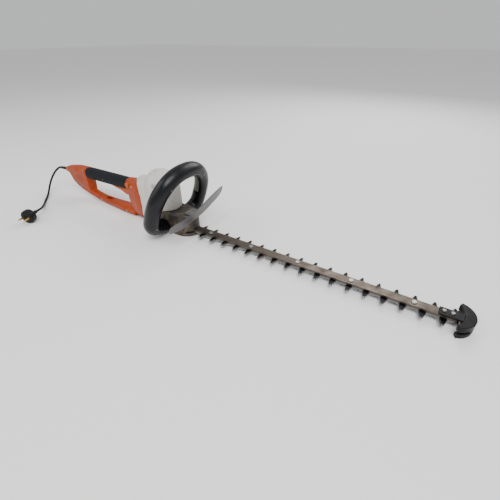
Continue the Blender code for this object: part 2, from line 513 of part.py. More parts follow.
def make_drive():
    """Make the crank gear with its two opposed eccentrics, and the motor's rotor with its pinion."""
    gear = prism("drive_gear", gear_outline(GEAR_TEETH, GEAR_AXIS_X, math.pi + math.pi / GEAR_TEETH),
                 GEAR_Z, GEAR_Z + GEAR_WIDTH, BRIGHT_STEEL)
    axis_low = (GEAR_AXIS_X, 0.0, SOLE_THICKNESS - 4 * MM)
    combine(gear, rod("add_crank_shaft", ECCENTRIC_SHAFT_RADIUS, axis_low, (GEAR_AXIS_X, 0.0, GEAR_Z + MM)), "UNION")
    levels = ((LOWER_BLADE_Z, ECCENTRICITY, "lower"), (UPPER_BLADE_Z, -ECCENTRICITY, "upper"))
    for (low_z, high_z), offset, label in levels:
        centre_x = GEAR_AXIS_X + offset
        low = (centre_x, 0.0, low_z + 0.05 * MM)
        high = (centre_x, 0.0, high_z - 0.05 * MM)
        combine(gear, rod(f"add_eccentric_{label}", ECCENTRIC_RADIUS, low, high, sides=28), "UNION")
    hub_low = (GEAR_AXIS_X, 0.0, UPPER_BLADE_Z[1] - 0.1 * MM)
    hub_radius = YOKE_HALF_SLOT_X - ECCENTRICITY
    combine(gear, rod("add_crank_hub", hub_radius, hub_low, (GEAR_AXIS_X, 0.0, GEAR_Z + MM), sides=24), "UNION")
    gear_boss_z = GEAR_Z + GEAR_WIDTH + 9 * MM
    collar_top = (GEAR_AXIS_X, 0.0, gear_boss_z - RUNNING_GAP)
    combine(gear, rod("add_gear_collar", 9 * MM, (GEAR_AXIS_X, 0.0, GEAR_Z + GEAR_WIDTH - MM), collar_top), "UNION")
    shaft_top = (GEAR_AXIS_X, 0.0, gear_boss_z + 7.5 * MM)
    combine(gear, rod("add_gear_shaft", 6 * MM, (GEAR_AXIS_X, 0.0, GEAR_Z + MM), shaft_top, sides=24), "UNION")
    set_origin(gear, (GEAR_AXIS_X, 0.0, GEAR_Z))

    axis = (MOTOR_AXIS_X, 0.0, 0.0)
    stack_top = MOTOR_STACK_Z + MOTOR_STACK_HEIGHT
    shaft = [(MOTOR_SHAFT_RADIUS, GEAR_Z - 2 * MM), (MOTOR_SHAFT_RADIUS, stack_top + 26 * MM)]
    turned("rotor_shaft", shaft, axis, (0, 0, 1), BRIGHT_STEEL, 24)
    sleeves = (("rotor_core", MOTOR_ROTOR_RADIUS, MOTOR_STACK_Z, stack_top, BRIGHT_STEEL, 30),
               ("commutator", 11 * MM, stack_top + 4 * MM, stack_top + 14 * MM, COPPER, 24),
               ("cooling_fan", 0.93 * MOTOR_STATOR_RADIUS, CASE_TOP_Z + 2 * MM, CASE_TOP_Z + 9 * MM, BLACK_PLASTIC, 30))
    for name, radius, low, high, finish, sides in sleeves:
        inner = MOTOR_SHAFT_RADIUS + GAP
        ring = [(inner, low), (radius, low), (radius, high), (inner, high)]
        turned(name, ring, axis, (0, 0, 1), finish, sides, hollow=True)
    pinion = prism("pinion", gear_outline(PINION_TEETH, MOTOR_AXIS_X, 0.0), GEAR_Z - MM, GEAR_Z + GEAR_WIDTH + MM,
                   BRIGHT_STEEL)
    combine(pinion, rod("cut_pinion_bore", MOTOR_SHAFT_RADIUS + GAP, (MOTOR_AXIS_X, 0.0, GEAR_Z - 2 * MM),
                        (MOTOR_AXIS_X, 0.0, GEAR_Z + GEAR_WIDTH + 2 * MM), sides=24))
    for name in ("rotor_shaft", "rotor_core", "commutator", "cooling_fan", "pinion"):
        set_origin(bpy.data.objects[name], (MOTOR_AXIS_X, 0.0, GEAR_Z))

    stator = [(MOTOR_ROTOR_RADIUS + 1.2 * MM, MOTOR_STACK_Z - 3 * MM), (MOTOR_STATOR_RADIUS, MOTOR_STACK_Z - 3 * MM),
              (MOTOR_STATOR_RADIUS, stack_top + 2 * MM), (MOTOR_ROTOR_RADIUS + 1.2 * MM, stack_top + 2 * MM)]
    turned("stator", stator, axis, (0, 0, 1), BRIGHT_STEEL, 24, hollow=True)
    bearing_z = stack_top + 18 * MM
    bearing = [(MOTOR_SHAFT_RADIUS + RUNNING_GAP, bearing_z), (9 * MM, bearing_z), (9 * MM, bearing_z + 7 * MM),
               (MOTOR_SHAFT_RADIUS + RUNNING_GAP, bearing_z + 7 * MM)]
    turned("upper_motor_bearing", bearing, axis, (0, 0, 1), BRIGHT_STEEL, 24, hollow=True)
    cup = [(9 * MM + GAP, bearing_z), (13 * MM, bearing_z), (24 * MM, stack_top + 3 * MM),
           (27 * MM, stack_top + 3 * MM), (16 * MM, bearing_z + 10 * MM), (6 * MM, bearing_z + 10 * MM),
           (6 * MM, bearing_z + 7 * MM + GAP), (9 * MM + GAP, bearing_z + 7 * MM + GAP)]
    turned("motor_end_bracket", cup, axis, (0, 0, 1), BLACK_PLASTIC, 24, hollow=True)
    for side, label in ((-1, "right"), (1, "left")):
        low = (MOTOR_AXIS_X - 3 * MM, 11.5 * MM, stack_top + 5 * MM)
        high = (MOTOR_AXIS_X + 3 * MM, 17 * MM, stack_top + 12 * MM)
        if side < 0:
            low = (low[0], -17 * MM, low[2])
            high = (high[0], -11.5 * MM, high[2])
        box(f"brush_{label}", low, high, BLACK_PLASTIC)


# ---------------------------------------------------------------- motor housing
def dome_loft(name, shrink, low_z, finish=None):
    """Loft the egg-shaped motor cover upward, shrunk by a wall for its inside."""
    rows = []
    top = DOME_TOP_Z - shrink
    for share in (0.0, 0.5, 1.0):
        rows.append((low_z + (DOME_SHOULDER_Z - low_z) * share, 1.0))
    for angle in np.radians((20, 40, 60, 80)):
        rows.append((DOME_SHOULDER_Z + (top - DOME_SHOULDER_Z) * math.sin(angle), math.cos(angle)))
    rings = []
    for height, scale in rows:
        outline = ellipse((DOME_X, 0.0), (DOME_HALF_LENGTH - shrink) * scale, (DOME_HALF_WIDTH - shrink) * scale, 32)
        rings.append([(u, v, height) for u, v in outline])
    return skin(name, rings, finish)


def collar_rows(inset):
    """Return the sections of the housing's rear block, from the gear case back to the swivel."""
    low = SWIVEL_Z - COLLAR_HALF_HEIGHT
    high = SWIVEL_Z + COLLAR_HALF_HEIGHT
    front = CASE_REAR_X - GAP - inset
    rear = BALL_CENTRE.x + 30 * MM
    return [(front, low, high, COLLAR_HALF_WIDTH), (rear, low, high, COLLAR_HALF_WIDTH)]


def make_housing():
    """Make the hollow motor housing with its dished rear and the neck that the handle turns on."""
    base_z = CASE_TOP_Z + GAP
    housing = dome_loft("motor_housing", 0.0, base_z, HOUSING_WHITE)
    combine(housing, upright_loft("add_housing_block", collar_rows(0.0), sides=28), "UNION")
    cavity = dome_loft("cut_housing_dome", SHELL_WALL, base_z - 5 * MM)
    block_cavity = upright_loft("cut_housing_block", collar_rows(SHELL_WALL), sides=28, shrink=SHELL_WALL)
    inner_ball = ball("keep_swivel_wall", BALL_CENTRE, SWIVEL_BALL_RADIUS + GAP + 4 * MM)
    combine(block_cavity, inner_ball)
    combine(housing, cavity)
    combine(housing, block_cavity)
    combine(housing, ball("cut_swivel_dish", BALL_CENTRE, SWIVEL_BALL_RADIUS + RUNNING_GAP))
    neck_rear = SWIVEL_FRONT_X - HANDLE_WALL_AT_BALL - 8.5 * MM
    profile = [(NECK_RADIUS, SWIVEL_FRONT_X + 3 * MM), (NECK_RADIUS, neck_rear + 4 * MM),
               (NECK_RADIUS + 6 * MM, neck_rear + 4 * MM), (NECK_RADIUS + 6 * MM, neck_rear)]
    axis_point = (0.0, 0.0, SWIVEL_Z)
    combine(housing, turned("add_neck", profile, axis_point, (1, 0, 0), None, 24), "UNION")
    combine(housing, rod("cut_cable_way", NECK_BORE, (neck_rear - MM, 0.0, SWIVEL_Z),
                         (SWIVEL_FRONT_X + 12 * MM, 0.0, SWIVEL_Z)))
    for side in (-1, 1):
        for index in range(5):
            slit_x = DOME_X + 16 * MM + index * 6 * MM
            low_y = side * DOME_HALF_WIDTH - 14 * MM
            combine(housing, box(f"cut_vent_{side}_{index}", (slit_x, low_y, base_z + 14 * MM),
                                 (slit_x + 2.4 * MM, low_y + 28 * MM, base_z + 38 * MM)))


# ---------------------------------------------------------------- loop handle and hand guard
def loop_point(distance):
    """Return X and Z at a distance up the loop's leaning plane, measured from the shearing plane."""
    x = LOOP_BASE_X + distance * math.sin(LOOP_LEAN)
    return x, BLADE_PLANE_Z + distance * math.cos(LOOP_LEAN)


def loop_path(count):
    """Return (across, along) points of the loop's centreline in its plane, foot to foot."""
    upper_rise = LOOP_HEIGHT - LOOP_SHOULDER
    lower_rise = LOOP_SHOULDER - LOOP_FOOT
    end_y = CASE_HALF_WIDTH + GAP
    points = []
    for angle in np.linspace(-math.pi / 2, 1.5 * math.pi, 1441):
        cosine = math.cos(angle)
        sine = math.sin(angle)
        rise = upper_rise if sine > 0 else lower_rise
        power = 2.3 if sine > 0 else 3.4
        across = math.copysign(abs(cosine) ** (2 / power), cosine) * LOOP_HALF_WIDTH
        along = LOOP_SHOULDER + math.copysign(abs(sine) ** (2 / power), sine) * rise
        if abs(across) > end_y or sine > 0:
            points.append((across, along))
    points = np.array([(-end_y, LOOP_FOOT)] + points[::-1] + [(end_y, LOOP_FOOT)])
    steps = np.concatenate([[0.0], np.cumsum(np.linalg.norm(np.diff(points, axis=0), axis=1))])
    even = np.linspace(0.0, steps[-1], count)
    return np.column_stack([np.interp(even, steps, points[:, axis]) for axis in (0, 1)])


def loop_frame(across, along, normal, radial, depth):
    """Place a point beside the loop's centreline: radial in the loop's plane, depth out of it."""
    x, z = loop_point(along + radial * normal[1])
    return (x + depth * math.cos(LOOP_LEAN), across + radial * normal[0], z - depth * math.sin(LOOP_LEAN))


def loop_normals(path):
    """Return the centreline's outward normals; the feet end square to the gear case's sides."""
    tangents = np.gradient(path, axis=0)
    tangents[[0, 1, -2, -1]] = (-1.0, 0.0)
    tangents /= np.linalg.norm(tangents, axis=1)[:, None]
    return np.column_stack([-tangents[:, 1], tangents[:, 0]])


def make_loop():
    """Make the loop handle as front and rear half tubes with the switch bar in the groove between them."""
    count = 47
    path = loop_path(count)
    normals = loop_normals(path)
    bar_first = 10
    bar_last = count - 1 - bar_first
    groove = SWITCH_BAR_HALF_WIDTH + RUNNING_GAP
    for side, label in ((1, "front"), (-1, "rear")):
        rings = []
        for index, ((across, along), normal) in enumerate(zip(path, normals)):
            edge = groove if bar_first - 1 <= index <= bar_last + 1 else GAP / 2
            ring = []
            for wall, order in ((0.0, 1), (SHELL_WALL, -1)):
                half_depth = LOOP_HALF_DEPTH - wall
                half_thick = LOOP_HALF_THICKNESS - wall
                start = math.asin(GAP / 2 / half_depth)
                end = math.pi - math.asin(edge / half_depth)
                angles = np.linspace(start, end, 8)[::order]
                for angle in angles:
                    radial = half_thick * math.cos(angle)
                    depth = side * half_depth * math.sin(angle)
                    ring.append(loop_frame(across, along, normal, radial, depth))
            rings.append(ring)
        skin(f"loop_{label}_shell", rings, LOOP_BLACK)
    rings = []
    outward = LOOP_HALF_THICKNESS - SWITCH_BAR_DEPTH + 2 * MM
    inward = LOOP_HALF_THICKNESS + 2 * MM
    for index in range(bar_first, bar_last + 1):
        across, along = path[index]
        ring = []
        for depth, radial in ellipse((0.0, -(outward + inward) / 2), SWITCH_BAR_HALF_WIDTH,
                                     (inward - outward) / 2, 12, 4.0):
            ring.append(loop_frame(across, along, normals[index], radial, depth))
        rings.append(ring)
    skin("loop_switch_bar", rings, SWITCH_GREY)
    for number, index in enumerate((6, 17, count - 18, count - 7)):
        across, along = path[index]
        head = loop_frame(across, along, normals[index], 0.0, LOOP_HALF_DEPTH - SHELL_WALL + 0.4 * MM)
        direction = Vector((math.cos(LOOP_LEAN), 0.0, -math.sin(LOOP_LEAN)))
        front = bpy.data.objects["loop_front_shell"]
        reach = Vector(head) + direction * 6 * MM
        combine(front, rod(f"cut_loop_screw_{number + 1}", 3.6 * MM, Vector(head) - direction * 4 * MM, reach))
        profile = [(1.8 * MM, -12 * MM), (1.8 * MM, 0.0), (3.2 * MM, 0.0), (3.2 * MM, 1.6 * MM)]
        turned(f"loop_screw_{number + 1}", profile, head, direction, BRIGHT_STEEL, 12)


def guard_screw_positions():
    """Return the plan positions of the two screws that hold the hand guard on the gear case."""
    screw_x = CASE_NOSE_X - 0.4 * CASE_NOSE_LENGTH
    return [(screw_x, 9 * MM), (screw_x, -9 * MM)]


def guard_plane_x(height):
    """Return the X of the guard's leaning plane at a height."""
    return LOOP_BASE_X + GUARD_AHEAD_OF_LOOP + (height - BLADE_PLANE_Z) * math.tan(LOOP_LEAN)


def make_guard():
    """Make the smoky hand guard: a thin visor that rises to the machine's left, on a screwed foot."""
    rows = ((-98, 52, 60), (-94, 46, 66), (-78, 42, 69), (-55, 42, 71), (-28, 46, 77), (-4, 53, 87), (15, 58, 97),
            (36, 64, 105), (57, 72, 111), (80, 79, 114), (93, 85, 112), (98, 92, 104))
    rings = []
    for across, low, high in smooth_rows(rows, 27):
        corners = []
        for height, offset in ((low, 0.0), (high, 0.0), (high, 1.0), (low, 1.0)):
            sweep = 9 * MM * (across / 98) ** 2
            x = guard_plane_x(height * MM) - sweep + offset * GUARD_THICKNESS
            corners.append((x, across * MM, height * MM))
        rings.append(corners)
    guard = skin("hand_guard", rings, GUARD_SMOKE)
    foot_z = CASE_TOP_Z + GAP
    screw_x = guard_screw_positions()[0][0]
    foot = box("add_guard_foot", (screw_x - 8 * MM, -17 * MM, foot_z),
               (guard_plane_x(foot_z) + MM, 17 * MM, foot_z + 3 * MM))
    combine(guard, foot, "UNION")
    for index, (place_x, place_y) in enumerate(guard_screw_positions()):
        low = (place_x, place_y, foot_z - MM)
        combine(guard, rod(f"cut_guard_screw_{index + 1}", 2.3 * MM, low, (place_x, place_y, foot_z + 5 * MM)))
        head_z = foot_z + 3 * MM + GAP
        profile = [(1.9 * MM, CASE_CEILING_Z + 1.5 * MM), (1.9 * MM, head_z), (4 * MM, head_z),
                   (3.2 * MM, head_z + 2 * MM)]
        turned(f"guard_screw_{index + 1}", profile, (place_x, place_y, 0.0), (0, 0, 1), BRIGHT_STEEL, 12)


# ---------------------------------------------------------------- swivelling rear handle
def grip_centre_z(x):
    """Return the height of the top bar's centre, which rises slightly towards the front."""
    share = (x - GRIP_REAR_X) / (GRIP_FRONT_X - GRIP_REAR_X)
    return (90.0 + 4.0 * share) * MM


def top_bar_rows(thin):
    """Return the top bar's sections, thinned where the soft grip wraps it."""
    rows = [(HANDLE_REAR_X, 80 * MM, 7 * MM, 7 * MM), (HANDLE_REAR_X + 10 * MM, 81 * MM, 10 * MM, 10 * MM),
            (HANDLE_REAR_X + 42 * MM, 85 * MM, 15 * MM, 14.5 * MM), (HANDLE_REAR_X + 80 * MM, 89 * MM, 17 * MM, 16 * MM),
            (GRIP_REAR_X - 2 * thin, grip_centre_z(GRIP_REAR_X), GRIP_HALF_HEIGHT, GRIP_HALF_WIDTH)]
    for x in np.linspace(GRIP_REAR_X, GRIP_FRONT_X, 4):
        rows.append((x, grip_centre_z(x), GRIP_HALF_HEIGHT - thin, GRIP_HALF_WIDTH - thin))
    rows.append((GRIP_FRONT_X + 2 * thin, grip_centre_z(GRIP_FRONT_X), GRIP_HALF_HEIGHT, GRIP_HALF_WIDTH))
    rows.append((GRIP_FRONT_X + 24 * MM, grip_centre_z(GRIP_FRONT_X), GRIP_HALF_HEIGHT, GRIP_HALF_WIDTH))
    return rows


def lower_bar_rows():
    """Return the sections of the guard bar that closes the D below the hand."""
    return [(-478 * MM, 70 * MM, 11 * MM, 12 * MM), (-464 * MM, 52 * MM, 12 * MM, 13 * MM),
            (-437 * MM, 36 * MM, 11 * MM, 13 * MM), (-390 * MM, 22 * MM, 10 * MM, 13 * MM),
            (-338 * MM, 13 * MM, 9.5 * MM, 13.5 * MM), (-280 * MM, 10.5 * MM, 10 * MM, 17 * MM),
            (-225 * MM, 10.5 * MM, 10 * MM, 22 * MM), (-174 * MM, 12 * MM, 10.5 * MM, 24 * MM)]


def rear_web_rows():
    """Return the sections of the solid web between the bars behind the hand."""
    return [(-489 * MM, 68 * MM, 92 * MM, 11 * MM), (-474 * MM, 47 * MM, 98 * MM, 13 * MM),
            (-450 * MM, 34 * MM, 104 * MM, 14.5 * MM), (-420 * MM, 26 * MM, 106 * MM, 15 * MM),
            (GRIP_REAR_X - MM, 20 * MM, 106 * MM, 15 * MM)]


def front_block_rows():
    """Return the sections of the block that carries the D on the swivel."""
    return [(GRIP_FRONT_X + MM, 66 * MM, 113 * MM, 18.5 * MM), (-188 * MM, 40 * MM, 114 * MM, 21 * MM),
            (-180 * MM, 3 * MM, 115 * MM, 24 * MM), (-165 * MM, 0.5 * MM, 116 * MM, 28 * MM),
            (-152 * MM, 2 * MM, 118 * MM, 32 * MM),
            (-143 * MM, SWIVEL_Z - COLLAR_HALF_HEIGHT, SWIVEL_Z + 57 * MM, COLLAR_HALF_WIDTH - 0.5 * MM),
            (-135 * MM, SWIVEL_Z - COLLAR_HALF_HEIGHT, SWIVEL_Z + COLLAR_HALF_HEIGHT, COLLAR_HALF_WIDTH),
            (SWIVEL_FRONT_X + 4 * MM, SWIVEL_Z - COLLAR_HALF_HEIGHT, SWIVEL_Z + COLLAR_HALF_HEIGHT, COLLAR_HALF_WIDTH)]


def handle_screw_places():
    """Return (x, z, half width of the shell there) for the screws that join the handle's halves."""
    return [(-402 * MM, 98 * MM, 15 * MM), (-164 * MM, 99 * MM, 24 * MM), (-434 * MM, 40 * MM, 14 * MM),
            (-342 * MM, 13.5 * MM, 13 * MM), (-214 * MM, 10 * MM, 22 * MM)]


def make_handle():
    """Make the D handle's two half shells, its grip, trigger, switch, lock button and screws."""
    form = bent_bar("form_handle", top_bar_rows(SLEEVE_THICKNESS + GAP))
    combine(form, upright_loft("form_rear_web", rear_web_rows(), power=3.0), "UNION")
    combine(form, bent_bar("form_lower_bar", lower_bar_rows(), power=3.0), "UNION")
    block = upright_loft("form_front_block", front_block_rows(), sides=28, power=2.6)
    combine(block, ball("keep_swivel_ball", BALL_CENTRE, SWIVEL_BALL_RADIUS), "INTERSECT")
    combine(form, block, "UNION")

    bar_rows = [row for row in top_bar_rows(SLEEVE_THICKNESS + GAP) if row[0] > GRIP_REAR_X - 60 * MM]
    combine(form, bent_bar("cut_bar_cavity", bar_rows, shrink=SHELL_WALL))
    block_rows = [(x + SHELL_WALL, low, high, half) for x, low, high, half in front_block_rows()[2:]]
    block_cavity = upright_loft("cut_block_cavity", block_rows, sides=24, shrink=SHELL_WALL)
    combine(block_cavity, ball("keep_front_wall", BALL_CENTRE, SWIVEL_BALL_RADIUS - HANDLE_WALL_AT_BALL), "INTERSECT")
    combine(form, block_cavity)
    combine(form, bent_bar("cut_lower_cavity", lower_bar_rows()[2:], power=3.0, shrink=SHELL_WALL))
    for index, (x, z, half) in enumerate(handle_screw_places()):
        combine(form, rod(f"add_screw_boss_{index + 1}", 4.6 * MM, (x, -0.85 * half, z), (x, 0.85 * half, z)), "UNION")
    combine(form, rod("cut_neck_bore", NECK_RADIUS + RUNNING_GAP, (SWIVEL_FRONT_X - 20 * MM, 0.0, SWIVEL_Z),
                      (SWIVEL_FRONT_X + 9 * MM, 0.0, SWIVEL_Z), sides=24))
    mouth, heading, _ = relief_axis()
    combine(form, rod("cut_relief_bore", 3.9 * MM + GAP, mouth + heading * 5 * MM, mouth - heading * 22 * MM))
    trigger_slot = box("cut_trigger_slot", (TRIGGER_PIVOT_X - 16 * MM, -TRIGGER_HALF_WIDTH - RUNNING_GAP, 40 * MM),
                       (GRIP_FRONT_X - 6 * MM, TRIGGER_HALF_WIDTH + RUNNING_GAP, grip_centre_z(TRIGGER_PIVOT_X)))
    combine(form, trigger_slot)
    pivot = (TRIGGER_PIVOT_X, 0.0, TRIGGER_PIVOT_Z)
    pin_hole = rod("cut_pin_hole", 2.0 * MM + GAP, (pivot[0], -30 * MM, pivot[2]), (pivot[0], 30 * MM, pivot[2]))
    combine(form, pin_hole)
    hook_hole = prism("cut_cord_hook", ellipse((-338 * MM + 24 * MM, 0.0), 15 * MM, 6.5 * MM, 20), -5 * MM, 40 * MM)
    combine(form, hook_hole)

    for side, label in ((-1, "right"), (1, "left")):
        near = side * GAP / 2
        far = side * 60 * MM
        low = (HANDLE_REAR_X - 20 * MM, min(near, far), -20 * MM)
        high = (SWIVEL_FRONT_X + 20 * MM, max(near, far), 160 * MM)
        shell = box(f"handle_shell_{label}", low, high, ORANGE)
        combine(shell, form, "INTERSECT")
    right = bpy.data.objects["handle_shell_right"]
    left = bpy.data.objects["handle_shell_left"]
    button_x = GRIP_FRONT_X + 11 * MM
    button_z = grip_centre_z(button_x) + 4 * MM
    combine(right, rod("cut_button_hole", LOCK_BUTTON_RADIUS + RUNNING_GAP, (button_x, -40 * MM, button_z),
                       (button_x, -2 * MM, button_z), sides=28))
    profile = [(LOCK_BUTTON_RADIUS, 7 * MM), (LOCK_BUTTON_RADIUS, 21 * MM), (LOCK_BUTTON_RADIUS - MM, 22.5 * MM)]
    turned("lock_button", profile, (button_x, 0.0, button_z), (0, -1, 0), TRIGGER_ORANGE, 28)
    for index, (x, z, half) in enumerate(handle_screw_places()):
        seat = -half + 3 * MM
        combine(right, rod(f"cut_head_{index + 1}", 4.0 * MM, (x, -50 * MM, z), (x, seat, z), sides=20))
        combine(right, rod(f"cut_shank_{index + 1}", 2.1 * MM, (x, -50 * MM, z), (x, 5 * MM, z), sides=16))
        combine(left, rod(f"cut_thread_{index + 1}", 2.15 * MM, (x, -2 * MM, z), (x, 0.6 * half, z), sides=12))
        screw = [(3.6 * MM, -seat + 2.4 * MM), (3.6 * MM, -seat + GAP), (1.8 * MM, -seat + GAP), (1.8 * MM, -0.5 * half)]
        turned(f"handle_screw_{index + 1}", screw, (x, 0.0, z), (0, -1, 0), BRIGHT_STEEL, 12)

    sleeve = bent_bar("grip_sleeve", [(x, grip_centre_z(x), GRIP_HALF_HEIGHT, GRIP_HALF_WIDTH)
                                      for x in np.linspace(GRIP_REAR_X + GAP, GRIP_FRONT_X - GAP, 5)], GRIP_BLACK)
    core = bent_bar("cut_sleeve_core", [(x, grip_centre_z(x), GRIP_HALF_HEIGHT, GRIP_HALF_WIDTH)
                                        for x in np.linspace(GRIP_REAR_X - 8 * MM, GRIP_FRONT_X + 8 * MM, 5)],
                    shrink=SLEEVE_THICKNESS)
    combine(sleeve, core)
    combine(sleeve, trigger_slot)
    combine(sleeve, pin_hole)
    rod("trigger_pin", 2.0 * MM, (pivot[0], -GRIP_HALF_WIDTH + MM, pivot[2]),
        (pivot[0], GRIP_HALF_WIDTH - MM, pivot[2]), BRIGHT_STEEL, 20)

    tail = TRIGGER_PIVOT_X - 8 * MM
    front = GRIP_FRONT_X - 13 * MM
    side_view = [(tail, 83 * MM), (-290 * MM, 76 * MM), (-262 * MM, 70 * MM), (-236 * MM, 65 * MM),
                 (-226 * MM, 60 * MM), (front - 6 * MM, 56 * MM), (front, 59 * MM), (front - MM, 74 * MM),
                 (front, 86 * MM), (-250 * MM, 86 * MM), (-290 * MM, 90 * MM), (tail, 92 * MM)]
    trigger = prism("trigger", side_view, -TRIGGER_HALF_WIDTH, TRIGGER_HALF_WIDTH, TRIGGER_ORANGE, "Y")
    combine(trigger, rod("cut_trigger_pivot", 2.0 * MM + RUNNING_GAP, (pivot[0], -20 * MM, pivot[2]),
                         (pivot[0], 20 * MM, pivot[2])))
    set_origin(trigger, pivot)
    switch_low = (-286 * MM, -6 * MM, 93 * MM)
    box("trigger_switch", switch_low, (-256 * MM, 6 * MM, 99.5 * MM), BLACK_PLASTIC)


# ---------------------------------------------------------------- cord, strain relief and plug
def cord_route():
    """Return the hand-chosen points, in millimetres, that the mains cord runs through to its plug."""
    return [(-548, 0, 77), (-556, -0.3, 76.3), (-567, -4, 71), (-574, -14, 61), (-574, -28, 48), (-570, -42, 34),
            (-563, -55, 21), (-552, -68, 10.5), (-536, -83, 4.8), (-515, -101, 3.8), (-492, -119, 4.4),
            (-470, -133.5, 8), (-450, -147, 12.8), (-435, -159, 16.8), (-427, -169, 19), (-422, -180, 19.5)]


def relief_axis():
    """Return the strain relief's mouth in the handle, its heading and its free length."""
    mouth = Vector((HANDLE_REAR_X, 0.0, 80 * MM))
    tip = Vector(cord_route()[0]) * MM
    return mouth, (tip - mouth).normalized(), (tip - mouth).length - GAP


def make_cord():
    """Make the tapered strain relief and the free cord as a thin tube; return where the plug starts."""
    mouth, heading, length = relief_axis()
    profile = [(3.9 * MM, 16 * MM), (3.9 * MM, -1.5 * MM), (6.4 * MM, -1.5 * MM), (5.6 * MM, -0.4 * length),
               (CORD_RADIUS + MM, -length)]
    turned("strain_relief", profile, mouth, -heading, CORD_RUBBER, 20)
    curve = bpy.data.curves.new("mains_cord", "CURVE")
    curve.dimensions = "3D"
    curve.resolution_u = 1
    curve.render_resolution_u = 0
    curve.bevel_depth = CORD_RADIUS
    curve.bevel_resolution = 2
    curve.use_fill_caps = True
    points = smooth_rows([Vector(point) * MM for point in cord_route()], 24)
    spline = curve.splines.new("POLY")
    spline.points.add(len(points) - 1)
    for target, point in zip(spline.points, points):
        target.co = (*point, 1.0)
    cord = bpy.data.objects.new("mains_cord", curve)
    bpy.context.collection.objects.link(cord)
    curve.materials.append(finish_material(CORD_RUBBER))
    end = Vector(points[-1])
    along = (Vector(points[-1]) - Vector(points[-2])).normalized()
    along.z = 0.0
    along.normalize()
    start = end + along * GAP
    profile = [(CORD_RADIUS + 1.2 * MM, 0.0), (6.5 * MM, 12 * MM), (0.6 * PLUG_RADIUS, 16 * MM),
               (PLUG_RADIUS * 0.94, 20 * MM), (PLUG_RADIUS, 24 * MM), (PLUG_RADIUS, 34 * MM), (0.9 * PLUG_RADIUS, 38 * MM)]
    return start, along, profile


def make_plug(start, along, profile):
    """Make the plug's body, lying on the ground at the cord's end, and its two pins."""
    centre = Vector((start.x, start.y, PLUG_RADIUS))
    turned("plug_body", profile, centre, along, CORD_RUBBER, 28)
    face = centre + along * (profile[-1][1] + GAP)
    sideways = Vector((-along.y, along.x, 0.0))
    for index, offset in enumerate((-9.5 * MM, 9.5 * MM)):
        root = face + sideways * offset
        rod(f"plug_pin_{index + 1}", 2.4 * MM, root, root + along * 19 * MM, BRASS, 16)


def main():
    """Build the whole hedge trimmer."""
    clear_scene()
    make_blade("upper_blade", UPPER_BLADE_Z, GEAR_AXIS_X - ECCENTRICITY, STROKE)
    make_blade("lower_blade", LOWER_BLADE_Z, GEAR_AXIS_X + ECCENTRICITY, -STROKE)
    make_rail()
    make_tip_guard()
    make_gear_case()
    make_drive()
    make_housing()
    make_loop()
    make_guard()
    make_handle()
    make_plug(*make_cord())


main()
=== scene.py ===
"""The look of a corded hedge trimmer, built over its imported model.

Row frame, in metres: the origin is the centre of the gear case's sole on the ground, +X points along
the blade to its tip, +Y to the machine's left and +Z up. Every new piece is worked out as whole numpy
arrays, fused and rounded where it is a moulding, and dressed with a procedural finish.
"""
from __future__ import annotations

import logging
import math
from collections.abc import Sequence
from dataclasses import dataclass, field
from enum import Enum

import bmesh
import bpy
import numpy as np
from mathutils import Matrix, Vector


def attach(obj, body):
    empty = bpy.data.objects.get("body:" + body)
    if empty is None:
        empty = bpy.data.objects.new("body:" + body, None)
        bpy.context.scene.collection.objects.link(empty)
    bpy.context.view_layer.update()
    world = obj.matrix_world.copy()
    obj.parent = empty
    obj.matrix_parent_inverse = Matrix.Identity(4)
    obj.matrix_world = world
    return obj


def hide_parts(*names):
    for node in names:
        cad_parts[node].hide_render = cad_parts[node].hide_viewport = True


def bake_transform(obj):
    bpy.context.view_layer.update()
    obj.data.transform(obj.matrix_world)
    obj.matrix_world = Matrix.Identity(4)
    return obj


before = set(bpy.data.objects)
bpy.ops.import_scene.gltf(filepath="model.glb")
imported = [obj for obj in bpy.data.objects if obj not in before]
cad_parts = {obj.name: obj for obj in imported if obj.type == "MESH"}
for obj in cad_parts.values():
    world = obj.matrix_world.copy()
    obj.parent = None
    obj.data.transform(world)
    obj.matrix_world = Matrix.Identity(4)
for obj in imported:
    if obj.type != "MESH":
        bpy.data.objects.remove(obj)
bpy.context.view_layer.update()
MM = 0.001
LOG = logging.getLogger("hedge_trimmer")
Point = tuple[float, float, float]

# sizes that several sub-assemblies share, as the CAD has them
GAP = 0.3 * MM                      # between pieces that touch
LEAN = math.radians(22.5)           # of the loop and the guard, forwards from upright
SHEAR_Z = 12 * MM                   # the plane that the two blades share
SWIVEL_Z = 68 * MM                  # the height of the rear handle's axis
BOOT_MOUTH = (-0.512, 0.0, 0.080)   # where the strain relief leaves the handle
BOOT_TIP = (-0.548, 0.0, 0.077)
MOTOR_AXIS_X = -46.6 * MM
CRANK_AXIS_X = -10 * MM
GUARD_SCREW_X = 33.2 * MM
GUARD_SCREW_Y = 9 * MM
CASE_TOP_Z = 62.3 * MM              # the seat of the motor cover and the guard's foot, a gap above the case
COLLAR = (5, 131, 35)               # the pale collar's bottom, top and half width, in millimetres


class Carve(Enum):
    """How one solid changes another."""

    ADD = "UNION"
    CUT = "DIFFERENCE"
    KEEP = "INTERSECT"


class Body(Enum):
    """The rigid bodies that pieces ride on."""

    MACHINE = "machine"
    HANDLE = "rear_handle"
    TRIGGER = "trigger_body"
    LOCK_BUTTON = "lock_button_body"
    SWITCH_BAR = "switch_bar_body"
    UPPER_BLADE = "upper_blade_body"
    LOWER_BLADE = "lower_blade_body"


class Axis(Enum):
    """The axis a flat outline is raised along; its value is the place of that coordinate."""

    Y = 1
    Z = 2


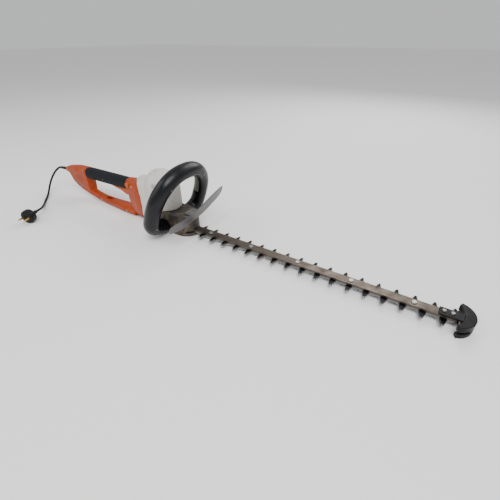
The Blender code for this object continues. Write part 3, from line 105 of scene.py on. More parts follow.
# ---------------------------------------------------------------- finishes
def linear(hex_colour: str) -> tuple[float, float, float, float]:
    """Turn an sRGB hex colour into linear RGBA.

    Args:
        hex_colour: six hex digits, without a hash.

    Returns:
        Linear red, green, blue and an alpha of 1.
    """
    values = np.array([int(hex_colour[start:start + 2], 16) for start in (0, 2, 4)]) / 255.0
    curve = np.where(values <= 0.04045, values / 12.92, ((values + 0.055) / 1.055) ** 2.4)
    return (float(curve[0]), float(curve[1]), float(curve[2]), 1.0)


def add_node(tree: bpy.types.NodeTree, kind: str, settings: dict | None = None,
             links: dict | None = None) -> bpy.types.Node:
    """Add one node with its settings and its links.

    Args:
        tree: the material's node tree.
        kind: the node's class name.
        settings: attribute names, or input names or numbers, with their values.
        links: input names or numbers, with the output sockets that feed them.

    Returns:
        The new node.
    """
    node = tree.nodes.new(kind)
    for key, value in (settings or {}).items():
        if isinstance(key, str) and hasattr(node, key):
            setattr(node, key, value)
        else:
            node.inputs[key].default_value = value
    for key, source in (links or {}).items():
        tree.links.new(source, node.inputs[key])
    return node


def ramp_between(tree: bpy.types.NodeTree, value: bpy.types.NodeSocket, low: float, high: float,
                 to_low: float = 0.0, to_high: float = 1.0) -> bpy.types.NodeSocket:
    """Stretch a value's range low..high to to_low..to_high, clamped at both ends.

    Args:
        tree: the material's node tree.
        value: the socket to stretch.
        low: the value that becomes to_low.
        high: the value that becomes to_high.
        to_low: the result at and below low.
        to_high: the result at and above high.

    Returns:
        The stretched value's socket.
    """
    settings = {"From Min": low, "From Max": high, "To Min": to_low, "To Max": to_high}
    return add_node(tree, "ShaderNodeMapRange", settings, {"Value": value}).outputs["Result"]


def blend_colours(tree: bpy.types.NodeTree, share: bpy.types.NodeSocket, first: object,
                  second: object) -> bpy.types.NodeSocket:
    """Mix two colours by a share.

    Args:
        tree: the material's node tree.
        share: 0 gives the first colour and 1 the second.
        first: a socket or a linear RGBA colour.
        second: a socket or a linear RGBA colour.

    Returns:
        The mixed colour's socket.
    """
    node = add_node(tree, "ShaderNodeMix", {"data_type": "RGBA"}, {0: share})
    for place, colour in ((6, first), (7, second)):
        if isinstance(colour, tuple):
            node.inputs[place].default_value = colour
        else:
            tree.links.new(colour, node.inputs[place])
    return node.outputs[2]


@dataclass(frozen=True)
class Finish:
    """A material's name and its base values; each kind of surface adds its own pattern."""

    name: str
    base: str
    shade: str
    roughness: float
    specular: float = 0.5

    def material(self) -> bpy.types.Material:
        """Return the finish's material, built once.

        Returns:
            The material, with its nodes.
        """
        made = bpy.data.materials.get(self.name)
        if made is None:
            made = bpy.data.materials.new(self.name)
            made.use_nodes = True
            tree = made.node_tree
            place = add_node(tree, "ShaderNodeTexCoord").outputs["Object"]
            shader = tree.nodes["Principled BSDF"]
            shader.inputs["Specular IOR Level"].default_value = self.specular
            self.pattern(tree, shader, place)
        return made

    def pattern(self, tree: bpy.types.NodeTree, shader: bpy.types.Node, place: bpy.types.NodeSocket) -> None:
        """Link this kind of surface's pattern to the shader.

        Args:
            tree: the material's node tree.
            shader: its Principled shader.
            place: the coordinates.
        """
        raise NotImplementedError

    def noise(self, tree: bpy.types.NodeTree, place: bpy.types.NodeSocket, size_mm: float,
              stretch: Point = (1.0, 1.0, 1.0), detail: float = 4.0) -> bpy.types.NodeSocket:
        """Add noise whose patches have a real size.

        Args:
            tree: the material's node tree.
            place: the coordinates.
            size_mm: a patch's size in millimetres.
            stretch: how many times finer than that it is along each axis.
            detail: how many finer layers are added.

        Returns:
            The noise's value.
        """
        moved = add_node(tree, "ShaderNodeMapping", {"Scale": stretch}, {"Vector": place}).outputs["Vector"]
        settings = {"Scale": 1000.0 / size_mm, "Detail": detail, "Roughness": 0.6}
        return add_node(tree, "ShaderNodeTexNoise", settings, {"Vector": moved}).outputs["Fac"]

    def relief(self, tree: bpy.types.NodeTree, shader: bpy.types.Node,
               layers: Sequence[tuple[bpy.types.NodeSocket, float, float]]) -> None:
        """Stack bump layers onto the shader's normal.

        Args:
            tree: the material's node tree.
            shader: its Principled shader.
            layers: (height socket, depth in millimetres, strength) of each.
        """
        normal = None
        for height, depth_mm, strength in layers:
            links = {"Height": height}
            if normal is not None:
                links["Normal"] = normal
            settings = {"Distance": depth_mm * MM, "Strength": strength}
            normal = add_node(tree, "ShaderNodeBump", settings, links).outputs["Normal"]
        tree.links.new(normal, shader.inputs["Normal"])


@dataclass(frozen=True)
class MouldedPlastic(Finish):
    """Injection-moulded plastic: spark-eroded grain, sun fading, rubbed-in soil and dry scuffs."""

    soil: str = "4A3A2C"
    scuff: str = "B9A795"
    grain_mm: float = 1.1
    soil_from: float = 0.56
    scuff_from: float = 0.64
    seam: bool = False
    gloss_coat: float = 0.0

    def pattern(self, tree: bpy.types.NodeTree, shader: bpy.types.Node, place: bpy.types.NodeSocket) -> None:
        """Link fading, soil, scuffs, an optional parting line and the grain to the shader.

        Args:
            tree: the material's node tree.
            shader: its Principled shader.
            place: the coordinates.
        """
        fading = ramp_between(tree, self.noise(tree, place, 120.0, detail=2.0), 0.35, 0.68)
        colour = blend_colours(tree, fading, linear(self.base), linear(self.shade))
        # the mould's fine mottling, drawn 7 mm wide so that it shows
        mottle = ramp_between(tree, self.noise(tree, place, 7.0), 0.40, 0.62, 0.0, 0.10)
        colour = blend_colours(tree, mottle, colour, linear(self.soil))
        soil_patches = self.noise(tree, place, 34.0, detail=9.0)
        soil = ramp_between(tree, soil_patches, self.soil_from, self.soil_from + 0.13, 0.0, 0.75)
        colour = blend_colours(tree, soil, colour, linear(self.soil))
        scratches = self.noise(tree, place, 26.0, (0.5, 9.0, 5.0), 3.0)
        scuff = ramp_between(tree, scratches, self.scuff_from, self.scuff_from + 0.06, 0.0, 0.55)
        colour = blend_colours(tree, scuff, colour, linear(self.scuff))
        grain = add_node(tree, "ShaderNodeTexVoronoi", {"Scale": 1000.0 / self.grain_mm}, {"Vector": place})
        layers = [(grain.outputs["Distance"], 0.10, 0.35), (scratches, 0.35, 0.18), (soil_patches, 0.8, 0.12)]
        if self.seam:
            # the half shells' parting line, 0.5 mm wide with soft edges, on the machine's middle plane
            across = add_node(tree, "ShaderNodeSeparateXYZ", {}, {"Vector": place}).outputs["Y"]
            off = add_node(tree, "ShaderNodeMath", {"operation": "ABSOLUTE"}, {0: across}).outputs[0]
            line = ramp_between(tree, off, 0.25 * MM, 0.5 * MM)
            colour = blend_colours(tree, line, linear("2A1A12"), colour)
            layers.append((line, 0.5, 0.8))
        tree.links.new(colour, shader.inputs["Base Color"])
        rough = ramp_between(tree, soil_patches, 0.35, 0.75, self.roughness - 0.06, self.roughness + 0.22)
        tree.links.new(rough, shader.inputs["Roughness"])
        shader.inputs["Coat Weight"].default_value = self.gloss_coat
        shader.inputs["Coat Roughness"].default_value = 0.22
        self.relief(tree, shader, layers)


@dataclass(frozen=True)
class SoftGrip(Finish):
    """Overmoulded thermoplastic rubber: pebbled, matt and dusty, with painted shade in its hollows."""

    pebble_mm: float = 1.6
    dust: str = "7C776F"

    def pattern(self, tree: bpy.types.NodeTree, shader: bpy.types.Node, place: bpy.types.NodeSocket) -> None:
        """Link the pebble, painted shade in its hollows, the dust and a polished patch to the shader.

        Args:
            tree: the material's node tree.
            shader: its Principled shader.
            place: the coordinates.
        """
        pebble = add_node(tree, "ShaderNodeTexVoronoi", {"Scale": 1000.0 / self.pebble_mm}, {"Vector": place})
        handled = ramp_between(tree, self.noise(tree, place, 60.0), 0.38, 0.64)
        colour = blend_colours(tree, handled, linear(self.base), linear(self.shade))
        # painted shade: the pebble's hollows are darkened towards near black
        hollow = ramp_between(tree, pebble.outputs["Distance"], 0.35, 0.75, 0.0, 0.28)
        colour = blend_colours(tree, hollow, colour, linear("0B0C0E"))
        dust = ramp_between(tree, self.noise(tree, place, 18.0, detail=8.0), 0.58, 0.74, 0.0, 0.20)
        colour = blend_colours(tree, dust, colour, linear(self.dust))
        tree.links.new(colour, shader.inputs["Base Color"])
        rough = ramp_between(tree, handled, 0.0, 1.0, self.roughness, self.roughness + 0.16)
        tree.links.new(rough, shader.inputs["Roughness"])
        self.relief(tree, shader, [(pebble.outputs["Distance"], 0.25, 0.6), (dust, 0.2, 0.2)])


@dataclass(frozen=True)
class WorkedSteel(Finish):
    """Bare, plated or blackened metal: rolling or grinding lines, sap stains and small rust spots."""

    stain: str = "5A3A22"
    lines: Point = (0.4, 14.0, 14.0)
    line_mm: float = 9.0
    stain_from: float = 0.60
    metallic: float = 1.0

    def pattern(self, tree: bpy.types.NodeTree, shader: bpy.types.Node, place: bpy.types.NodeSocket) -> None:
        """Link the work lines, stains and rust to the shader.

        Args:
            tree: the material's node tree.
            shader: its Principled shader.
            place: the coordinates.
        """
        lines = self.noise(tree, place, self.line_mm, self.lines, 5.0)
        toned = ramp_between(tree, lines, 0.34, 0.68)
        colour = blend_colours(tree, toned, linear(self.base), linear(self.shade))
        patches = self.noise(tree, place, 22.0, detail=10.0)
        stain = ramp_between(tree, patches, self.stain_from, self.stain_from + 0.12, 0.0, 0.8)
        colour = blend_colours(tree, stain, colour, linear(self.stain))
        specks = ramp_between(tree, self.noise(tree, place, 2.4, detail=3.0), 0.66, 0.74, 0.0, 0.6)
        colour = blend_colours(tree, specks, colour, linear(self.stain))
        tree.links.new(colour, shader.inputs["Base Color"])
        rough = ramp_between(tree, patches, 0.35, 0.72, self.roughness - 0.05, self.roughness + 0.25)
        tree.links.new(rough, shader.inputs["Roughness"])
        shader.inputs["Metallic"].default_value = self.metallic
        self.relief(tree, shader, [(lines, 0.10, 0.30), (specks, 0.15, 0.35)])


@dataclass(frozen=True)
class CastMetal(Finish):
    """Die-cast alloy under thin paint: sand-like skin, packed clippings dust, paint worn off in chips."""

    bare: str = "8F887C"
    dust: str = "8A7458"

    def pattern(self, tree: bpy.types.NodeTree, shader: bpy.types.Node, place: bpy.types.NodeSocket) -> None:
        """Link the cast skin, the chips and the dust to the shader.

        Args:
            tree: the material's node tree.
            shader: its Principled shader.
            place: the coordinates.
        """
        skin_height = self.noise(tree, place, 2.2, detail=6.0)
        broad = ramp_between(tree, self.noise(tree, place, 45.0), 0.36, 0.66)
        colour = blend_colours(tree, broad, linear(self.base), linear(self.shade))
        chips = ramp_between(tree, self.noise(tree, place, 7.0, detail=8.0), 0.645, 0.665)
        colour = blend_colours(tree, chips, colour, linear(self.bare))
        dust = ramp_between(tree, self.noise(tree, place, 20.0, detail=9.0), 0.52, 0.70, 0.0, 0.75)
        colour = blend_colours(tree, dust, colour, linear(self.dust))
        tree.links.new(colour, shader.inputs["Base Color"])
        tree.links.new(ramp_between(tree, chips, 0.0, 1.0, 0.05, 0.9), shader.inputs["Metallic"])
        tree.links.new(ramp_between(tree, dust, 0.0, 0.75, self.roughness, 0.85), shader.inputs["Roughness"])
        self.relief(tree, shader, [(skin_height, 0.35, 0.5), (chips, 0.2, 0.4)])


@dataclass(frozen=True)
class SmokyPolycarbonate(Finish):
    """Injection-moulded smoky polycarbonate: light passes, hazed by fine scratches and dust."""

    haze: str = "8F8B89"
    clearness: float = 0.22

    def pattern(self, tree: bpy.types.NodeTree, shader: bpy.types.Node, place: bpy.types.NodeSocket) -> None:
        """Link the haze and the scratches to the shader, and let light through.

        Args:
            tree: the material's node tree.
            shader: its Principled shader.
            place: the coordinates.
        """
        scratches = self.noise(tree, place, 22.0, (8.0, 0.7, 5.0), 4.0)
        haze = ramp_between(tree, self.noise(tree, place, 26.0, detail=8.0), 0.45, 0.72, 0.0, 0.25)
        colour = blend_colours(tree, haze, linear(self.base), linear(self.haze))
        edge = ramp_between(tree, scratches, 0.60, 0.68, 0.0, 0.2)
        colour = blend_colours(tree, edge, colour, linear(self.shade))
        tree.links.new(colour, shader.inputs["Base Color"])
        tree.links.new(ramp_between(tree, haze, 0.0, 0.5, self.roughness, self.roughness + 0.3),
                       shader.inputs["Roughness"])
        shader.inputs["Transmission Weight"].default_value = self.clearness
        shader.inputs["IOR"].default_value = 1.58
        self.relief(tree, shader, [(scratches, 0.04, 0.12)])


# ABS, injection moulded: strong orange that the sun has dulled, with soil rubbed into its grain
ORANGE_ABS = MouldedPlastic("orange_abs_moulded", "A63C00", "933200", 0.38, 0.30, soil="55230F",
                            scuff="B4683A", soil_from=0.66, scuff_from=0.72, seam=True)
# ABS trigger: brighter, because fingers keep it clean
TRIGGER_ABS = MouldedPlastic("trigger_abs_moulded", "C25200", "B04800", 0.34, 0.35, soil="6E3314",
                             soil_from=0.66)
# thermoplastic rubber grip: charcoal with a blue cast
GRIP_RUBBER = SoftGrip("grip_rubber_overmoulded", "101317", "15191D", 0.60, 0.20, dust="4A4744")
# glass-filled nylon loop: black with a soft sheen and faint handling scuffs
LOOP_NYLON = MouldedPlastic("loop_nylon_moulded", "040509", "07090F", 0.28, 0.30, soil="17181B",
                            scuff="26282E", soil_from=0.66, scuff_from=0.70, gloss_coat=0.06)
# off-white ABS motor cover: grey soil in its grain, brown scuffs where it is gripped
HOUSING_ABS = MouldedPlastic("housing_abs_moulded", "D3CFC9", "C3BEB6", 0.44, soil="857B6E", scuff="8F8273",
                             soil_from=0.57, scuff_from=0.66)
# die-cast gear case under brown-grey paint
CASE_CASTING = CastMetal("gear_case_diecast", "2F2B26", "3B352E", 0.50)
# rolled steel guide rail: brown-grey with sap stains
RAIL_STEEL = WorkedSteel("guide_rail_rolled_steel", "6B625A", "4F4740", 0.38)
# blackened spring steel blades
BLADE_STEEL = WorkedSteel("blade_blackened_steel", "131418", "1C1D20", 0.34, stain="2E221A", stain_from=0.58)
# the ground cutting faces, bright along their grinding lines
GROUND_EDGE = WorkedSteel("blade_ground_edge", "8E8D8A", "6B6A68", 0.28, lines=(14.0, 0.6, 14.0), line_mm=6.0)
# smoky polycarbonate hand guard
GUARD_PC = SmokyPolycarbonate("guard_polycarbonate_moulded", "5F5D5D", "3A3738", 0.34, 0.35)
# black nylon tip guard and small inner mouldings, greyed by the ground
BLACK_NYLON = MouldedPlastic("black_nylon_moulded", "060607", "0B0B0C", 0.46, 0.25, soil="25221F",
                             scuff="3A3836", soil_from=0.60, scuff_from=0.62)
# PVC lead and plug: black, slightly greasy
CORD_PVC = MouldedPlastic("cord_pvc_extruded", "040405", "080809", 0.44, 0.25, soil="1E1B18", scuff="2A2826",
                          grain_mm=1.6, soil_from=0.62)
# zinc-plated steel fasteners
ZINC_STEEL = WorkedSteel("fastener_zinc_plated_steel", "A9A7A1", "87847D", 0.32, line_mm=3.0, stain="6B4A30")
# machined motor steel and copper
MOTOR_STEEL = WorkedSteel("motor_turned_steel", "9C9B98", "7E7D7A", 0.30, lines=(1.0, 1.0, 22.0), line_mm=8.0)
COMMUTATOR_COPPER = WorkedSteel("commutator_turned_copper", "C9835A", "A8643F", 0.30, lines=(1.0, 1.0, 22.0),
                                stain="3F2A20")
PIN_BRASS = WorkedSteel("pin_turned_brass", "C8A65A", "A98643", 0.28, lines=(1.0, 1.0, 12.0), stain="5E4726",
                        stain_from=0.66)
# ABS switch bar: grey-green
SWITCH_ABS = MouldedPlastic("switch_bar_abs_moulded", "5E6459", "51564D", 0.44, soil="34352F", soil_from=0.60)


# ---------------------------------------------------------------- surfaces
def mesh_object(name: str, points: np.ndarray, faces: list[list[int]]) -> bpy.types.Object:
    """Make an object from points and faces, with every face turned outwards.

    Args:
        name: the object's name.
        points: an (n, 3) array in the row frame.
        faces: corner numbers of each face.

    Returns:
        The new object, at the origin.
    """
    mesh = bpy.data.meshes.new(name)
    mesh.from_pydata(points.reshape(-1, 3).tolist(), [], faces)
    shell = bmesh.new()
    shell.from_mesh(mesh)
    bmesh.ops.recalc_face_normals(shell, faces=shell.faces)
    shell.to_mesh(mesh)
    shell.free()
    made = bpy.data.objects.new(name, mesh)
    bpy.context.scene.collection.objects.link(made)
    return made


def skin(name: str, rings: np.ndarray, looped: bool = False) -> bpy.types.Object:
    """Join rings of points into one closed surface.

    The surface is p(i, j) = rings[i, j]: neighbouring rings are joined by quads, each ring closes on
    itself, and the ends are capped unless the rows themselves close into a loop.

    Args:
        name: the object's name.
        rings: a (rows, columns, 3) array.
        looped: whether the last ring joins the first.

    Returns:
        The new object.
    """
    rows, columns = rings.shape[:2]
    numbers = np.arange(rows * columns).reshape(rows, columns)
    low = numbers if looped else numbers[:-1]
    high = np.roll(numbers, -1, axis=0) if looped else numbers[1:]
    quads = np.stack([low, np.roll(low, -1, axis=1), np.roll(high, -1, axis=1), high], axis=-1)
    faces = quads.reshape(-1, 4).tolist()
    if not looped:
        faces += [numbers[0][::-1].tolist(), numbers[-1].tolist()]
    return mesh_object(name, rings, faces)


def superellipse(half_u: np.ndarray | float, half_v: np.ndarray | float, sides: int,
                 power: float) -> np.ndarray:
    """Return points with |u / half_u|^power + |v / half_v|^power = 1.

    Args:
        half_u: half the width, one number or one per row.
        half_v: half the height, the same.
        sides: how many points.
        power: 2 is an ellipse and more is squarer.

    Returns:
        An array of (..., sides, 2).
    """
    angle = 2 * np.pi * (np.arange(sides) + 0.5) / sides
    unit_u = np.sign(np.cos(angle)) * np.abs(np.cos(angle)) ** (2 / power)
    unit_v = np.sign(np.sin(angle)) * np.abs(np.sin(angle)) ** (2 / power)
    across = np.multiply.outer(np.asarray(half_u), unit_u)
    upwards = np.multiply.outer(np.asarray(half_v), unit_v)
    return np.stack([across, upwards], -1)


def smooth_rows(rows: Sequence[Sequence[float]], count: int) -> np.ndarray:
    """Read a smooth cubic curve (Catmull-Rom) through rows of numbers at even steps.

    Args:
        rows: the numbers that the curve goes through.
        count: how many rows to read.

    Returns:
        A (count, columns) array.
    """
    given = np.asarray(rows, dtype=float)
    padded = np.vstack([2 * given[0] - given[1], given, 2 * given[-1] - given[-2]])
    steps = np.linspace(0.0, len(given) - 1.0, count)
    index = np.minimum(steps.astype(int), len(given) - 2)
    share = (steps - index)[:, None]
    before, start, end, after = (padded[index + offset] for offset in range(4))
    return 0.5 * (2 * start + (end - before) * share + (2 * before - 5 * start + 4 * end - after) * share ** 2
                  + (3 * start - before - 3 * end + after) * share ** 3)


def upright_loft(name: str, rows: np.ndarray, sides: int = 48, power: float = 2.6,
                 shrink: float = 0.0) -> bpy.types.Object:
    """Loft upright superellipse sections along X.

    Args:
        name: the object's name.
        rows: (x, bottom, top, half width) of each section.
        sides: points round a section.
        power: the section's squareness.
        shrink: how far inside the rows the surface lies.

    Returns:
        The new object.
    """
    rows = np.asarray(rows)
    section = superellipse(rows[:, 3] - shrink, (rows[:, 2] - rows[:, 1]) / 2 - shrink, sides, power)
    middle = ((rows[:, 1] + rows[:, 2]) / 2)[:, None]
    along = np.broadcast_to(rows[:, :1], section.shape[:2])
    return skin(name, np.stack([along, section[..., 0], section[..., 1] + middle], axis=-1))


def bent_bar(name: str, rows: np.ndarray, sides: int = 48, power: float = 2.6,
             shrink: float = 0.0) -> bpy.types.Object:
    """Carry a superellipse section along a path in the XZ plane, square to the path's tangent.

    Args:
        name: the object's name.
        rows: (x, z, half height, half width) along the path.
        sides: points round a section.
        power: the section's squareness.
        shrink: how far inside the rows the surface lies.

    Returns:
        The new object.
    """
    rows = np.asarray(rows)
    tangent = np.gradient(rows[:, :2], axis=0)
    tangent /= np.linalg.norm(tangent, axis=1)[:, None]
    section = superellipse(rows[:, 3] - shrink, rows[:, 2] - shrink, sides, power)
    along = rows[:, None, 0] - tangent[:, None, 1] * section[..., 1]
    height = rows[:, None, 1] + tangent[:, None, 0] * section[..., 1]
    return skin(name, np.stack([along, section[..., 0], height], axis=-1))


def turned(name: str, profile: Sequence[tuple[float, float]], origin: Sequence[float],
           heading: Sequence[float], sides: int = 48) -> bpy.types.Object:
    """Turn a profile of (radius, distance) about an axis: p = origin + heading * distance + radius * round.

    Args:
        name: the object's name.
        profile: radius and distance along the axis.
        origin: a point on the axis.
        heading: the axis's direction.
        sides: points round the axis.

    Returns:
        The new object, capped at both ends.
    """
    axis = Vector(heading).normalized()
    across = np.array(axis.orthogonal().normalized())
    upward = np.cross(np.array(axis), across)
    angle = 2 * np.pi * np.arange(sides) / sides
    circle = np.cos(angle)[:, None] * across + np.sin(angle)[:, None] * upward
    rows = np.asarray(profile)
    centre = np.array(origin) + rows[:, 1:] * np.array(axis)
    return skin(name, centre[:, None] + rows[:, 0, None, None] * circle[None])


def rod(name: str, radius: float, start: Sequence[float], end: Sequence[float],
        sides: int = 32) -> bpy.types.Object:
    """Make a round rod between two points.

    Args:
        name: the object's name.
        radius: the rod's radius.
        start: the middle of one end.
        end: the middle of the other.
        sides: points round the rod.

    Returns:
        The new object.
    """
    heading = Vector(end) - Vector(start)
    return turned(name, [(radius, 0.0), (radius, heading.length)], start, heading, sides)


def raised(name: str, outline: np.ndarray, levels: Sequence[float], axis: Axis = Axis.Z,
           outlines: Sequence[np.ndarray] | None = None) -> bpy.types.Object:
    """Raise a flat outline through levels along an axis; each level may have an outline of its own.

    Args:
        name: the object's name.
        outline: (n, 2) points: X and Y when raised along Z, X and Z when raised along Y.
        levels: the heights.
        axis: the axis it is raised along.
        outlines: one outline for each level, in place of the first.

    Returns:
        The new object.
    """
    flats = np.array(outlines if outlines is not None else [outline] * len(levels))
    heights = np.broadcast_to(np.asarray(levels)[:, None], flats.shape[:2])
    order = [flats[..., 0], flats[..., 1]]
    order.insert(axis.value, heights)
    return skin(name, np.stack(order, axis=-1))


def block(name: str, low: Sequence[float], high: Sequence[float]) -> bpy.types.Object:
    """Make a box between two corners, to cut with.

    Args:
        name: the object's name.
        low: the corner with the least X, Y and Z.
        high: the corner with the most.

    Returns:
        The new object.
    """
    outline = np.array([(low[0], low[1]), (high[0], low[1]), (high[0], high[1]), (low[0], high[1])])
    return raised(name, outline, (low[2], high[2]))


def sphere(name: str, centre: Sequence[float], radius: float, sides: int = 64) -> bpy.types.Object:
    """Make a ball: rings of radius * sin(a) at distance radius * cos(a), from near one pole to the other.

    Args:
        name: the object's name.
        centre: the ball's centre.
        radius: its radius.
        sides: points round a ring.

    Returns:
        The new object, with a tiny flat cap on each pole.
    """
    cap = 0.02
    angle = np.linspace(cap, np.pi - cap, sides // 2)
    profile = list(zip(radius * np.sin(angle), -radius * np.cos(angle)))
    return turned(name, profile, centre, (1, 0, 0), sides)


def settle(piece: bpy.types.Object, *spent: bpy.types.Object) -> None:
    """Apply a piece's modifiers to its mesh and remove the solids it was made with.

    Args:
        piece: the piece.
        spent: the solids that its modifiers used.
    """
    graph = bpy.context.evaluated_depsgraph_get()
    finished = bpy.data.meshes.new_from_object(piece.evaluated_get(graph))
    finished.name = piece.name
    rough = piece.data
    piece.modifiers.clear()
    piece.data = finished
    bpy.data.meshes.remove(rough)
    for tool in spent:
        bpy.data.objects.remove(tool, do_unlink=True)


def carve(piece: bpy.types.Object, how: Carve, *tools: bpy.types.Object) -> bpy.types.Object:
    """Add, cut or keep with each tool in turn.

    Args:
        piece: the solid that changes.
        how: the operation.
        tools: the solids it is done with, used up.

    Returns:
        The changed piece.
    """
    for tool in tools:
        step = piece.modifiers.new(tool.name, "BOOLEAN")
        step.operation = how.value
        step.solver = "EXACT"
        step.object = tool
    settle(piece, *tools)
    return piece


def mould(piece: bpy.types.Object, voxel: float, rounds: int) -> bpy.types.Object:
    """Give a solid a moulding's even skin and rounded edges: re-skin it on a fine lattice and relax it.

    Args:
        piece: the solid.
        voxel: the lattice's spacing.
        rounds: how many times the points are relaxed.

    Returns:
        The moulded piece.
    """
    lattice = piece.modifiers.new("lattice", "REMESH")
    lattice.mode = "VOXEL"
    lattice.voxel_size = voxel
    relax = piece.modifiers.new("relax", "SMOOTH")
    relax.factor = 0.5
    relax.iterations = rounds
    settle(piece)
    return piece


def shade(piece: bpy.types.Object, sharp_deg: float = 180.0) -> None:
    """Shade a piece smooth, with edges sharper than the angle left crisp.

    Args:
        piece: the piece.
        sharp_deg: the angle in degrees; 180 leaves no edge crisp.
    """
    piece.data.shade_smooth()
    if sharp_deg < 180.0:
        piece.data.set_sharp_from_angle(angle=math.radians(sharp_deg))


def deliver(piece: bpy.types.Object, finishes: Sequence[Finish], body: Body, slot: str, *nodes: str,
            bend: tuple[Body, Sequence[float], Sequence[float]] | None = None) -> None:
    """Dress a piece, put it on its body unless a bend is given, and let it stand for its CAD nodes.

    Args:
        piece: the finished piece.
        finishes: its finishes in slot order.
        body: the body it rides on.
        slot: not used.
        nodes: the CAD nodes it stands for.
        bend: for a piece that crosses a joint, the other body and two points; when given, the piece keeps its
            place on no body, and these values are not read.
    """
    if piece.type == "MESH":
        piece.data.materials.clear()
    for finish in finishes:
        piece.data.materials.append(finish.material())
    if bend is None:
        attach(piece, body.value)
    else:
        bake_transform(piece)
    if nodes:
        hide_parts(*nodes)
    LOG.info("%s: %d faces on %s", piece.name, len(getattr(piece.data, "polygons", ())), body.value)


# ---------------------------------------------------------------- camera, light and floor
@dataclass
class Studio:
    """A pale floor, soft light and the camera."""

    camera_at: Point = (0.5754, -0.5658, 0.4580)
    right: Point = (0.84663, 0.53218, -0.0024)
    down: Point = (0.29594, -0.47454, -0.82899)
    forward: Point = (-0.44231, 0.70114, -0.55925)
    lens_mm: float = 23.11
    sensor_mm: float = 36.0
    floor_half: float = 14.0
    sky_strength: float = 0.70
    lamps_aim: Point = (0.05, 0.0, 0.05)
    lamps: tuple[tuple[str, Point, float, float], ...] = (
        ("key", (0.9, -1.1, 2.2), 1.5, 52.0),
        ("fill", (-1.6, -1.2, 1.5), 1.9, 14.0),
        ("back", (0.2, 1.9, 1.5), 1.5, 26.0))

    def build(self) -> None:
        """Set up the camera, the floor, the lights and the sky."""
        self.camera()
        self.floor()
        for lamp in self.lamps:
            self.light(*lamp)
        world = bpy.data.worlds.new("studio")
        world.use_nodes = True
        sky = world.node_tree.nodes["Background"]
        sky.inputs["Color"].default_value = linear("F2F3F5")
        sky.inputs["Strength"].default_value = self.sky_strength
        bpy.context.scene.world = world

    def camera(self) -> None:
        """Place the camera by its three directions."""
        data = bpy.data.cameras.new("camera")
        data.lens = self.lens_mm
        data.sensor_width = self.sensor_mm
        data.clip_start = 0.01
        made = bpy.data.objects.new("camera", data)
        bpy.context.scene.collection.objects.link(made)
        upward, backward = ([-value for value in side] for side in (self.down, self.forward))
        turn = Matrix((self.right, upward, backward)).transposed()
        made.matrix_world = Matrix.Translation(self.camera_at) @ turn.to_4x4()
        bpy.context.scene.camera = made

    def floor(self) -> None:
        """Lay a plain pale floor."""
        half = self.floor_half
        corners = half * np.array([(-1.0, -1.0, 0.0), (1.0, -1.0, 0.0), (1.0, 1.0, 0.0), (-1.0, 1.0, 0.0)])
        made = mesh_object("floor", corners, [[0, 1, 2, 3]])
        material = bpy.data.materials.new("floor_paper")
        material.use_nodes = True
        shader = material.node_tree.nodes["Principled BSDF"]
        shader.inputs["Base Color"].default_value = linear("F4F3F2")
        shader.inputs["Roughness"].default_value = 0.8
        made.data.materials.append(material)

    def light(self, name: str, place: Point, size: float, power: float) -> None:
        """Hang one soft area light that faces the machine's middle.

        Args:
            name: the light's name.
            place: where it hangs.
            size: its width across.
            power: its power in watts.
        """
        data = bpy.data.lights.new(name, "AREA")
        data.shape = "DISK"
        data.size = size
        data.energy = power
        made = bpy.data.objects.new(name, data)
        made.location = place
        made.rotation_euler = (Vector(self.lamps_aim) - Vector(place)).to_track_quat("-Z", "Y").to_euler()
        bpy.context.scene.collection.objects.link(made)


